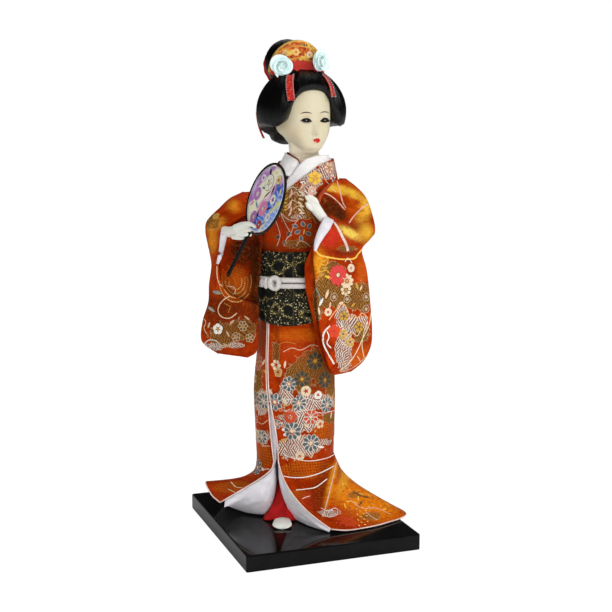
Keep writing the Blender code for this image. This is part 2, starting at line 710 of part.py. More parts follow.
RIGHT_SLEEVE = {
    "outer": [(112.6, -49.0), (117.4, -56.6), (122.0, -59.4), (133.4, -58.2), (145, -54.6),
              (156, -54.0), (168.7, -52.4), (180, -54.2), (190, -55.8), (196, -54.6), (203.3, -47.4),
              (209.5, -40.5), (213.0, -33.0)],
    "inner_front": [(112.6, -30.0), (115.8, -24.6), (128, -23.2), (138, -22.8), (146, -24.0), (149, -36.0),
                    (153, -43.0), (160, -47.0), (171.6, -47.6), (181.7, -45.8), (190, -43.6), (197, -36.0),
                    (203, -25.0), (213, -22.8)],
    "inner_back": [(112.6, -30.0), (115.8, -24.6), (128, -23.2), (147, -24.4), (156, -22.8), (166, -21.2),
                   (182, -21.6), (190, -24.0), (197, -25.2), (213, -22.8)],
    "plane": [(112.6, -12.5, -2.0, 2.4), (118, -13.5, -1.0, 3.0), (140, -14.5, 0.0, 3.6), (178, -13.0, 0.0, 5.0),
              (197, -6.0, 1.0, 6.0), (213, 3.0, 4.0, 3.0)],
    "arms": [((-26.0, 5.0, 207.0), (-50.0, 1.0, 192.0), 7.8), ((-50.0, 0.0, 190.0), (-44.0, -12.0, 188.0), 7.0)],
    "creases": [(-40.0, 172.0, 0.3, 1.4), (-38.0, 200.0, 0.4, 1.6)],
}


def makeSleeve(name, sleeve, rows):
    grid = []
    for z in rows:
        ways = [0, 0.2, 0.42, 0.64, 0.84, 1.0]
        row = [sleevePoint(sleeve, c, z, True) for c in ways]
        row += [sleevePoint(sleeve, c, z, False) for c in reversed(ways)]
        grid.append(row)
    columns = len(grid[0])
    points = [p for row in grid for p in row]
    faces = gridFaces(len(grid), columns)
    for end in (0, len(grid) - 1):
        for j in range(columns // 2):
            k = columns - 1 - j
            if j + 1 < k:
                faces.append((end * columns + j, end * columns + j + 1, end * columns + k - 1, end * columns + k))
    mesh = meshFrom(name, points, faces)
    faceOutwards(mesh)
    if mesh.polygons[columns * 4].normal.y > 0:
        mesh.flip_normals()
    smoothShade(mesh, 60)
    made = addObject(name, mesh, brocade)
    solidify = made.modifiers.new("thickness", "SOLIDIFY")
    solidify.thickness = CLOTH * MM
    solidify.offset = -1
    return made


# Head: level rings turned with the head, with nose, lips, chin and eye hollows pressed in

# (height, half width, reach to the front and to the back, shift to the side and back)
HEAD_SECTIONS = [(NECK_FOOT, 10.8, 8.8, 10.4, 3.0, 2.2), (231, 9.2, 7.2, 9.6, 3.2, 2.4),
                 (236, 8.3, 6.8, 8.8, 2.3, 1.6), (237.8, 8.4, 9.6, 9.0, 1.2, 0.5),
                 (238.6, 9.0, 14.6, 9.2, 0.4, 0.2), (240.2, 9.6, 16.6, 9.4, 0.0, 0.0),
                 (244, 12.0, 17.8, 10.0, 0.0, 0.0), (250, 15.7, 18.2, 14.0, 0.0, 0.0),
                 (257, 16.9, 18.2, 17.0, 0.0, 0.0), (264, 17.1, 18.6, 17.5, 0.0, 0.0),
                 (270, 16.5, 18.0, 17.0, 0.0, 0.0), (275, 14.8, 16.0, 15.2, 0.0, 0.0),
                 (279.5, 11.3, 12.0, 12.0, 0.0, 0.0), (282.6, 6.8, 7.0, 7.0, 0.0, 0.0),
                 (283.8, 2.0, 2.0, 2.0, 0.0, 0.0)]


def headPoint(angle, z, offset=0.0):
    """On the head at an angle from the face's middle line."""
    halfWidth, front, back, shiftX, shiftY = smoothStation(HEAD_SECTIONS, z)
    side = angle if angle <= pi else angle - 2 * pi
    degrees = degreesOf(side)
    relief = 2.3 * hump(degrees, 0, 6.5) * hump(z, 250.4, 2.2) + 1.2 * hump(degrees, 0, 6) * hump(z, 254, 3.0)
    relief += 0.8 * hump(degrees, 0, 12) * hump(z, 245.2, 1.8) + 0.7 * hump(degrees, 0, 16) * hump(z, 240.6, 1.8)
    relief -= 0.9 * hump(abs(degrees), 22, 11) * hump(z, 257, 3.2)
    relief += 0.7 * hump(abs(degrees), 40, 16) * hump(z, 248.5, 4.5)
    depth = (front + back) / 2
    forward = (front - back) / 2
    x = (halfWidth + offset) * sin(angle)
    y = -forward - (depth + offset) * cos(angle)
    length = sqrt(x * x + y * y) or 1.0
    x, y = x * (1 + relief / length), y * (1 + relief / length)
    x, y = turned(x, y, HEAD_YAW)
    return Vector((HEAD_X + shiftX + x, HEAD_Y + shiftY + y, z))


def makeHead():
    heights = [NECK_FOOT, 227, 231, 234, 236, 237.6, 238.6, 240.2, 242.5, 245, 247.5, 250.2, 253, 257, 262, 268, 273, 278,
               281.5, 283.6]
    count = 24
    angles = []
    for j in range(count):
        a = 2 * pi * j / count
        angles.append(a - 0.42 * sin(a))
    rings = [[headPoint(a, z) for a in angles] for z in heights]
    return loft("head", rings, skin, 60)


# Wig: a shell round the head with a front roll, two side wings and a nape roll

def headReach(direction):
    """Distance from the wig's middle to the head's surface along a direction in the head's frame."""
    low, high = 2.0, 40.0
    for _ in range(22):
        mid = (low + high) / 2
        point = direction * mid
        z = WIG_CENTRE_Z + point.z
        halfWidth, front, back = smoothStation(HEAD_SECTIONS, z)[:3]
        depth, forward = (front + back) / 2, (front - back) / 2
        inside = (point.x / halfWidth) ** 2 + ((point.y + forward) / depth) ** 2 < 1 and z < 284
        low, high = (mid, high) if inside else (low, mid)
    return low


def direction(azimuth, elevation):
    """In the head's frame: azimuth 0 is the face, and grows to the doll's left."""
    return Vector((cos(elevation) * sin(azimuth), -cos(elevation) * cos(azimuth), sin(elevation)))


def wigReach(azimuth, elevation):
    side = abs(degreesOf(azimuth if azimuth <= pi else 2 * pi - azimuth))
    up = degreesOf(elevation)
    d = direction(azimuth, elevation)
    depth = between(WIG_FRONT, WIG_BACK, ease((side - 60) / 80))
    height = WIG_UP if up > 0 else WIG_DOWN
    reach = 1 / sqrt((d.x / WIG_HALF_WIDTH) ** 2 + (d.y / depth) ** 2 + (d.z / height) ** 2)
    crown = ease((88 - up) / 30)
    reach *= 1 - 0.10 * hump(side, 44, 7) * crown - 0.09 * hump(side, 133, 8) * crown
    reach *= 1 + 0.05 * hump(side, 0, 24) * hump(up, 42, 18) + 0.03 * hump(side, 88, 26) * hump(up, 5, 25)
    reach *= 1 - 0.05 * hump(side, 0, 28) * hump(up, 88, 22)
    return reach


RIM = [(0, 38.0), (18, 36.0), (30, 30.0), (41, 18.0), (48, 0.0), (55, -14.0), (66, -20.0), (90, -19.0),
       (112, -23.0), (128, -36.0), (142, -45.0), (160, -50.0), (180, -51.0)]


def wigPoint(azimuth, elevation, offset=0.0):
    reach = wigReach(azimuth, elevation) + offset
    p = direction(azimuth, elevation) * reach
    x, y = turned(p.x, p.y, HEAD_YAW)
    return Vector((HEAD_X + x, HEAD_Y + y, WIG_CENTRE_Z + p.z))


def wigInner(azimuth, elevation, offset):
    reach = headReach(direction(azimuth, elevation)) + offset
    p = direction(azimuth, elevation) * reach
    x, y = turned(p.x, p.y, HEAD_YAW)
    return Vector((HEAD_X + x, HEAD_Y + y, WIG_CENTRE_Z + p.z))


def makeWig():
    count = 32
    rings = []
    for inner, steps in ((True, [0.92, 0.62, 0.28, 0.0]), (False, fractions(9)[:-1] + [0.97])):
        for t in steps:
            ring = []
            for j in range(count):
                azimuth = 2 * pi * j / count
                side = degreesOf(azimuth if azimuth <= pi else 2 * pi - azimuth)
                rim = radians(smoothStation(RIM, side)[0])
                elevation = between(rim, pi / 2, t)
                if inner:
                    ring.append(wigInner(azimuth, elevation, SEAT_GAP if t == 0 else 5 * SEAT_GAP))
                else:
                    edge = 0.93 if t == 0 else 1.0
                    reach = wigReach(azimuth, elevation)
                    ring.append(wigPoint(azimuth, elevation, (edge - 1) * reach))
            rings.append(ring)
    return loft("wig", rings, hair, 50)


def makeWigClearance():
    """The wig's outside with the usual gap, to cut what stands on it."""
    rings = []
    for i in range(1, 14):
        elevation = radians(-60 + i * 11.2)
        rings.append([wigPoint(2 * pi * j / 32, elevation, SEAT_GAP) for j in range(32)])
    return hiddenCutter(loft("wig_clearance", rings, hair, group=cutters))


def makeTopKnot(clearance):
    """An upright bun behind the comb, thick from front to back."""
    centre = Vector((-4.9, 8.6, 291.9))
    rings = []
    for t in (-0.97, -0.8, -0.5, -0.15, 0.2, 0.5, 0.8, 0.97):
        spread = sqrt(1 - t * t) ** 0.8
        ring = []
        for j in range(20):
            a = 2 * pi * j / 20
            x, y = turned(TOP_KNOT_RADIUS * spread * sin(a), 7.5 * t, 10)
            ring.append((centre.x + x, centre.y + y, centre.z + TOP_KNOT_RADIUS * spread * cos(a)))
        rings.append(ring)
    knot = loft("top_knot", rings, hair, 60)
    cutWith(knot, clearance)
    rings = []
    for t in (0.0, 0.35, 0.8, 1.0):
        spread = (1 - t ** 2.2 * 0.55)
        ring = []
        for j in range(20):
            a = 2 * pi * j / 20
            x, y = turned((TOP_KNOT_RADIUS - 0.6) * spread * sin(a), 8.0 + 2.2 * t, 10)
            ring.append((centre.x + x - 0.4, centre.y + y, centre.z + (TOP_KNOT_RADIUS - 0.6) * spread * cos(a) - 1.6))
        rings.append(ring)
    cloth = loft("top_knot_cloth", rings, redCloth, 60)
    cutWith(cloth, clearance)


def makeComb(clearance):
    """A half-round brocade crest in front of the bun, bowed forward at its middle."""
    yaw = 16.0
    foot = Vector((1.2, -3.5, 287.0))
    rings = []
    for t in (-1.0, -0.85, -0.6, -0.3, 0.0, 0.3, 0.6, 0.85, 1.0):
        top = COMB_HEIGHT * sqrt(max(1 - t * t, 0)) + 1.2
        low = 0.0
        bow = 3.4 * (1 - t * t)
        ring = []
        for up, back in ((low, 0), (top * 0.5, 0.4), (top, 1.2), (top, 1.2 + COMB_THICKNESS),
                         (top * 0.5, 0.4 + COMB_THICKNESS), (low, COMB_THICKNESS)):
            x, y = turned(t * COMB_HALF_WIDTH, back - bow, yaw)
            ring.append((foot.x + x, foot.y + y, foot.z + up - 3.0))
        rings.append(ring)
    comb = loft("crest_comb", rings, combCloth, 40)
    cutWith(comb, clearance)


def makeRose(name, centre, yaw, pitch, clearance):
    """A rose of gathered ribbon: a low dome with a spiral of folds."""
    back = ROSE_HEIGHT * 0.5
    count = 16
    tilt = Matrix.Rotation(radians(yaw), 3, "Z") @ Matrix.Rotation(radians(pitch), 3, "X")
    rings = []
    for radius, lift in ((0.3, back), (0.95, back), (1.0, back * 0.3), (0.96, -0.4), (0.78, -1.3), (0.55, -1.9),
                         (0.3, -2.3), (0.08, -2.0)):
        ring = []
        for j in range(count):
            a = 2 * pi * j / count
            wave = 0.05 * cos(5 * a + 7 * radius) if radius > 0.5 else 0.0
            fold = 0.45 * cos(2 * a + 9 * radius) if 0.2 < radius < 0.9 else 0.0
            r = ROSE_RADIUS * (radius + wave)
            ring.append(Vector(centre) + tilt @ Vector((r * cos(a), lift - fold * 0.7, r * sin(a))))
        rings.append(ring)
    rose = loft(name, rings, rosePale, 50)
    cutWith(rose, clearance)


def makeRibbon(name, top, bottom):
    """A flat ribbon lying on the wig between two places, each an azimuth and an elevation."""
    rows = []
    for t in fractions(6):
        azimuth, elevation = radians(between(top[0], bottom[0], t)), radians(between(top[1], bottom[1], t))
        width = RIBBON_WIDTH / (wigReach(azimuth % (2 * pi), elevation) * cos(elevation))
        reach = max(wigReach((azimuth + c * width) % (2 * pi), elevation) for c in (-0.5, -0.25, 0.0, 0.25, 0.5))
        row = []
        for c in (-0.5, 0.0, 0.5):
            here = (azimuth + c * width) % (2 * pi)
            lift = reach - wigReach(here, elevation)
            row.append(wigPoint(here, elevation, lift + 2 * GAP + RIBBON_THICKNESS))
        rows.append(row)
    return sheet(name, rows, RIBBON_THICKNESS, redCloth)


# Fan and hands

VIEW_TILT = radians(9.1)
FAN_CENTRE = Vector((-17.3, -36.0, 211.5))


def fanAxis(across, depth, up):
    """Turns a direction seen in the tilted picture plane into the doll's frame."""
    return Vector((across, depth * cos(VIEW_TILT) + up * sin(VIEW_TILT), up * cos(VIEW_TILT) - depth * sin(VIEW_TILT)))


FAN_UP = fanAxis(0.438, -0.338, 0.833).normalized()
FAN_SIDE = (fanAxis(0.344, -0.789, -0.51) - FAN_UP * fanAxis(0.344, -0.789, -0.51).dot(FAN_UP)).normalized()
FAN_FACE = FAN_SIDE.cross(FAN_UP).normalized()


def fanPoint(across, up, out=0.0):
    return FAN_CENTRE + FAN_SIDE * across + FAN_UP * up + FAN_FACE * out


def makeFan():
    leafRadius = FAN_RADIUS - 2 * FAN_RIM_RADIUS - GAP
    rings = []
    for out in (-FAN_LEAF / 2, FAN_LEAF / 2):
        rings.append([fanPoint(leafRadius * cos(2 * pi * j / 32), leafRadius * sin(2 * pi * j / 32), out)
                      for j in range(32)])
    loft("fan_leaf", rings, fanPaper, 30)
    data = bpy.data.curves.new("fan_rim", "CURVE")
    data.dimensions = "3D"
    data.bevel_depth = FAN_RIM_RADIUS * MM
    data.bevel_resolution = 0
    line = data.splines.new("POLY")
    line.points.add(31)
    line.use_cyclic_u = True
    middle = FAN_RADIUS - FAN_RIM_RADIUS
    for j, point in enumerate(line.points):
        a = 2 * pi * j / 32
        point.co = (*(fanPoint(middle * cos(a), middle * sin(a)) * MM), 1)
    addObject("fan_rim", data, fanBlack)
    stickAlong("fan_handle", fanPoint(0, -FAN_RADIUS - GAP), fanPoint(0, -HANDLE_REACH),
               HANDLE_WIDTH / 2, HANDLE_THICKNESS / 2, FAN_SIDE, fanBlack)
    rings = []
    for up in (-FAN_RADIUS + 3, -HANDLE_REACH - 4):
        ring = []
        for j in range(12):
            a = 2 * pi * j / 12
            ring.append(fanPoint((HANDLE_WIDTH / 2 + GAP) * cos(a) * 1.1, up, (HANDLE_THICKNESS / 2 + GAP) * sin(a) * 1.35))
        rings.append(ring)
    handleClearance = hiddenCutter(loft("handle_clearance", rings, fanBlack, group=cutters))
    rings = []
    for out in (-FAN_RIM_RADIUS - GAP, FAN_RIM_RADIUS + GAP):
        rings.append([fanPoint((FAN_RADIUS + GAP) * cos(2 * pi * j / 32), (FAN_RADIUS + GAP) * sin(2 * pi * j / 32), out)
                      for j in range(32)])
    return handleClearance, hiddenCutter(loft("leaf_clearance", rings, fanBlack, group=cutters))


def makeHand(name, sections, thickness):
    """A slim hand from the wrist to the finger tips: each section is a middle and a half width."""
    stations = [(i / (len(sections) - 1), *s) for i, s in enumerate(sections)]
    rings = []
    for t in fractions(8):
        x, y, z, half = smoothStation(stations, t)
        ahead = Vector(smoothStation(stations, min(t + 0.05, 1))[:3])
        behind = Vector(smoothStation(stations, max(t - 0.05, 0))[:3])
        along = (ahead - behind).normalized()
        through = Vector((0, 1, 0.15))
        through = (through - along * through.dot(along)).normalized()
        side = along.cross(through)
        slim = thickness * (1 - 0.35 * t) * min(1.0, half / 2.5)
        ring = []
        for j in range(12):
            a = 2 * pi * j / 12
            ring.append(Vector((x, y, z)) + side * half * cos(a) + through * slim * sin(a))
        rings.append(ring)
    return loft(name, rings, handWhite, 60)


# Everything in order

makeBase()
makeDowel()
makeBodyCore()
makeFoot("foot", -8.3, -39.6)
makeUnderskirt()
makeSkirt()
makeFacings()
makeBodice()
makeSash()
makeCord()
makeDrumKnot()
makeCollar("collar", whiteSatin, 28)
makeCollar("collar_piping", redCloth, 8, 2 / 28, 10 / 28, LINING + 2 * GAP, 0.4)
makeSleeve("sleeve_left", LEFT_SLEEVE, [221.5, 217, 212, 207, 203, 198.5, 193.5, 188.5, 184, 179.5, 175.5, 171, 159, 145, 130, 117, 108, 103])
makeSleeve("sleeve_right", RIGHT_SLEEVE, [213, 209.5, 205, 200, 195, 189, 181, 171, 162, 155, 150, 146, 137, 127, 118.5, 112.6])
makeHead()
makeWig()
clearance = makeWigClearance()
makeTopKnot(clearance)
makeComb(clearance)
makeRose("rose_right", (-7.9, -15.0, 289.0), 12, 8, clearance)
makeRose("rose_left", (15.9, -6.6, 292.0), 52, 0, clearance)
makeRibbon("hair_ribbon_right", (-50, 47), (-42, 18))
makeRibbon("hair_ribbon_left", (44, 54), (36, 22))
makeRibbon("nape_ribbon", (-133, -12), (-133, -36))
fanClearances = makeFan()
rightHand = makeHand("hand_right", [(-41.0, -13.0, 186.5, 3.4), (-36.0, -20.0, 189.2, 3.9), (-31.0, -26.5, 191.4, 4.3),
                                    (-26.6, -29.8, 191.6, 3.7), (-23.6, -30.6, 193.6, 1.6)], 3.6)
for cutter in fanClearances:
    cutWith(rightHand, cutter)
makeHand("hand_left", [(17.7, -25.0, 196.3, 2.9), (14.4, -27.6, 199.6, 3.6), (12.0, -30.0, 205.0, 4.0),
                       (9.4, -32.0, 209.6, 3.7), (7.8, -33.2, 212.4, 2.6), (7.0, -33.8, 213.4, 1.4)], 2.8)
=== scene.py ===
import bpy
from math import sin, cos, atan2, pi, radians, degrees, sqrt, exp
from mathutils import Vector, Matrix, noise
from mathutils.bvhtree import BVHTree


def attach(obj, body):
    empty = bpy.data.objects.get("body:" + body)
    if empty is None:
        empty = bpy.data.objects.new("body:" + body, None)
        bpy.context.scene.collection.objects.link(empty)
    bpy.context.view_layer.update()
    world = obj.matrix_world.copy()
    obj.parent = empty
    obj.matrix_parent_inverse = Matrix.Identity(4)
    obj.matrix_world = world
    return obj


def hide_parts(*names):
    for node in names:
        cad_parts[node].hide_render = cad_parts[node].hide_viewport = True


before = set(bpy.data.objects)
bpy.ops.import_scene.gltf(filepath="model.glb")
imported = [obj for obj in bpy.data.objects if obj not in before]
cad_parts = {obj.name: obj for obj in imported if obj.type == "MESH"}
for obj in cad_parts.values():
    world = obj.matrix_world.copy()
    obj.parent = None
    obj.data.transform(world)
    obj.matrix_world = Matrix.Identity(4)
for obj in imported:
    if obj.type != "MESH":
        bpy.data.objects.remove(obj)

scene = bpy.context.scene
scene.view_settings.view_transform = "Standard"
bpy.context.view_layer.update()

mm = 0.001
gap = 0.3
clothThickness = 0.8
lining = 0.7
seatGap = 0.4
baseTop = 10.3
under = clothThickness + gap + 0.1
floorHeight = baseTop + gap + lining
stand = Matrix.Translation((0, 0.008, 0)) @ Matrix.Rotation(radians(-20), 4, "Z")  # the doll's own frame

print("stage: camera and light")


# Camera, as the photograph was taken
focal = 1200.0
photoSize = 612
middlePixel = photoSize / 2
cameraAzimuth, cameraElevation = radians(-20.05), radians(9.11)
cameraBack = Vector((sin(cameraAzimuth) * cos(cameraElevation), -cos(cameraAzimuth) * cos(cameraElevation),
    sin(cameraElevation)))
cameraPlace = Vector((0.00385, 0, 0.14322)) + cameraBack * 0.7439
cameraTurn = (-cameraBack).to_track_quat("-Z", "Y")
cameraMatrix = Matrix.Translation(cameraPlace) @ cameraTurn.to_matrix().to_4x4()
cameraInverse = cameraMatrix.inverted()
cameraRight = cameraTurn @ Vector((1, 0, 0))

cameraData = bpy.data.cameras.new("camera")
cameraData.lens = 36 * focal / photoSize
cameraData.sensor_width = 36
camera = bpy.data.objects.new("camera", cameraData)
camera.matrix_world = cameraMatrix
scene.collection.objects.link(camera)
scene.camera = camera


# Where a pixel of the photograph looks from, and which way
def pixelRay(u, v):
    way = Vector(((u - middlePixel) / focal, (middlePixel - v) / focal, -1))
    return cameraPlace, (cameraTurn @ way).normalized()


def pixelOf(point):
    seen = cameraInverse @ point
    return middlePixel - focal * seen.x / seen.z, middlePixel + focal * seen.y / seen.z


# Small tools
def between(a, b, t):
    return a + (b - a) * t


def ease(t):
    t = min(max(t, 0.0), 1.0)
    return t * t * (3 - 2 * t)


def hump(value, middle, spread):
    return exp(-((value - middle) / spread) ** 2)


def fractions(count):
    return [i / count for i in range(count + 1)]


# Values between stations, each (key, a, b, ...), eased with the slopes on both sides
def smoothStation(stations, value):
    if value <= stations[0][0]:
        return stations[0][1:]
    if value >= stations[-1][0]:
        return stations[-1][1:]
    i = 0
    while value > stations[i + 1][0]:
        i += 1
    before, low, high = stations[max(i - 1, 0)], stations[i], stations[i + 1]
    after = stations[min(i + 2, len(stations) - 1)]
    span = high[0] - low[0]
    t = (value - low[0]) / span
    h00, h10 = 2 * t ** 3 - 3 * t ** 2 + 1, t ** 3 - 2 * t ** 2 + t
    h01, h11 = 3 * t ** 2 - 2 * t ** 3, t ** 3 - t ** 2
    lowSpan, highSpan = max(high[0] - before[0], 1e-06), max(after[0] - low[0], 1e-06)
    return tuple((h00 * low[k] + h10 * (high[k] - before[k]) / lowSpan * span + h01 * high[k]
        + h11 * (after[k] - low[k]) / highSpan * span for k in range(1, len(low))))


def curveThrough(points, t):
    stations = [(i / (len(points) - 1), *p) for i, p in enumerate(points)]
    return Vector(smoothStation(stations, t))


def turned(x, y, angle):
    a = radians(angle)
    return x * cos(a) - y * sin(a), x * sin(a) + y * cos(a)


# Smooth noise from -1 to 1, the same each time
def rough(x, y, z=0.0):
    return noise.noise(Vector((x, y, z)))


def onStand(point):
    return stand @ (Vector(point) * mm)


# Shader building: a value in a node tree is wrapped, so that sums of masks read as plain arithmetic

class Signal:
    def __init__(self, socket):
        self.socket = socket

    def __add__(self, other):
        return calc("ADD", self, other)

    def __radd__(self, other):
        return calc("ADD", other, self)

    def __sub__(self, other):
        return calc("SUBTRACT", self, other)

    def __rsub__(self, other):
        return calc("SUBTRACT", other, self)

    def __mul__(self, other):
        return calc("MULTIPLY", self, other)

    def __rmul__(self, other):
        return calc("MULTIPLY", other, self)

    def __truediv__(self, other):
        return calc("DIVIDE", self, other)


def outOf(made, key=0):
    return Signal(made.outputs[key])


def connect(signal, socket):
    socket.id_data.links.new(signal.socket, socket)


def fillIn(made, values):
    for key, value in dict(values).items():
        if isinstance(value, Signal):
            connect(value, made.inputs[key])
        else:
            made.inputs[key].default_value = value
    return made


def treeOf(*values):
    return next(value.socket.id_data for value in values if isinstance(value, Signal))


def node(tree, kind, values=(), **settings):
    made = tree.nodes.new("ShaderNode" + kind)
    for key, value in settings.items():
        setattr(made, key, value)
    return fillIn(made, values)


def calc(operation, *values, clamp=False):
    return outOf(node(treeOf(*values), "Math", enumerate(values), operation=operation, use_clamp=clamp))


def step(value, low, high):
    settings = {"Value": value, "From Min": low, "From Max": high}
    return outOf(node(treeOf(value), "MapRange", settings, interpolation_type="SMOOTHSTEP"))


def mix(factor, a, b, blend="MIX"):
    a, b = ((*c, 1) if isinstance(c, tuple) and len(c) == 3 else c for c in (a, b))
    return outOf(node(treeOf(factor, a, b), "Mix", {0: factor, 6: a, 7: b}, data_type="RGBA", blend_type=blend), 2)


def noiseValue(vector, scale, detail=3.0, roughness=0.55, distortion=0.0):
    settings = {"Vector": vector, "Scale": scale, "Detail": detail, "Roughness": roughness, "Distortion": distortion}
    return outOf(node(treeOf(vector), "TexNoise", settings))


def stretched(vector, x, y, z=1.0, turn=0.0):
    return outOf(node(treeOf(vector), "Mapping", {"Vector": vector, "Scale": (x, y, z), "Rotation": (0, 0, turn)}))


def bump(height, strength, distance):
    return outOf(node(treeOf(height), "Bump", {"Height": height, "Strength": strength, "Distance": distance}))


def nodeGroup(name, inputs, outputs):
    tree = bpy.data.node_groups.new(name, "ShaderNodeTree")
    for side, sockets in (("INPUT", inputs), ("OUTPUT", outputs)):
        for label, kind in sockets:
            tree.interface.new_socket(label, in_out=side, socket_type="NodeSocket" + kind)
    return tree, tree.nodes.new("NodeGroupInput"), tree.nodes.new("NodeGroupOutput")


def useGroup(group, coordinates, pitch):
    made = treeOf(coordinates).nodes.new("ShaderNodeGroup")
    made.node_tree = group
    return fillIn(made, {0: coordinates, 1: pitch})


def material(name, sockets=()):
    made = bpy.data.materials.new(name)
    made.use_nodes = True
    shader = made.node_tree.nodes["Principled BSDF"]
    for label, value in dict(sockets).items():
        shader.inputs[label].default_value = (*value, 1) if isinstance(value, tuple) else value
    return made, made.node_tree, shader


def wire(shader, sockets):
    for label, signal in sockets.items():
        connect(signal, shader.inputs[label])


def clothCoordinates(tree):
    return outOf(node(tree, "UVMap", uv_map="cloth"))


def objectCoordinates(tree):
    return outOf(node(tree, "TexCoord"), "Object")


print("stage: materials")

# Threads crossing at a pitch in millimetres: their height, and which system is on top
weave, weaveIn, weaveOut = nodeGroup("weave", [("Coordinates", "Vector"), ("Pitch", "Float")],
    [("Height", "Float"), ("Warp", "Float")])
parted = node(weave, "SeparateXYZ", {0: outOf(weaveIn)})
scaled = [outOf(parted, i) / outOf(weaveIn, 1) * (2 * pi) for i in (0, 1)]
warpSide = calc("SINE", scaled[0])
weftSide = calc("SINE", scaled[1])
connect(warpSide * weftSide, weaveOut.inputs[0])
connect(step(warpSide + weftSide, -0.4, 0.4), weaveOut.inputs[1])

# Short floats of thread that lie two ways in patches, as in brocade: a mask
hatch, hatchIn, hatchOut = nodeGroup("hatch", [("Coordinates", "Vector"), ("Pitch", "Float")], [("Mask", "Float")])
parted = node(hatch, "SeparateXYZ", {0: outOf(hatchIn)})
diagonals = []
for operation in ("ADD", "SUBTRACT"):
    way = calc(operation, outOf(parted), outOf(parted, 1) * 0.6)
    wobble = noiseValue(outOf(hatchIn), 0.5) * 1.4
    way = (way + wobble) / outOf(hatchIn, 1)
    diagonals.append(step(calc("SINE", way * (2 * pi)), -0.1, 0.4))
patch = step(noiseValue(outOf(hatchIn), 0.22, 1.0), 0.48, 0.52)
chosen = outOf(node(hatch, "Mix", {0: patch, 2: diagonals[0], 3: diagonals[1]}, data_type="FLOAT"))
connect(chosen, hatchOut.inputs[0])

# Six-sided net of thin lines, as on the lower skirt: a mask
fret, fretIn, fretOut = nodeGroup("fret", [("Coordinates", "Vector"), ("Pitch", "Float")], [("Mask", "Float")])
cells = outOf(node(fret, "VectorMath", {0: outOf(fretIn), 3: 0.56}, operation="SCALE"))
edges = node(fret, "TexVoronoi", {"Vector": cells, "Scale": 1.0, "Randomness": 0.25}, feature="DISTANCE_TO_EDGE")
rings = node(fret, "TexVoronoi", {"Vector": cells, "Scale": 1.0, "Randomness": 0.25})
line = 1.0 - step(outOf(edges, "Distance"), 0.05, 0.12)
core = 1.0 - step(outOf(rings, "Distance"), 0.1, 0.2)
connect(calc("MAXIMUM", line, core), fretOut.inputs[0])


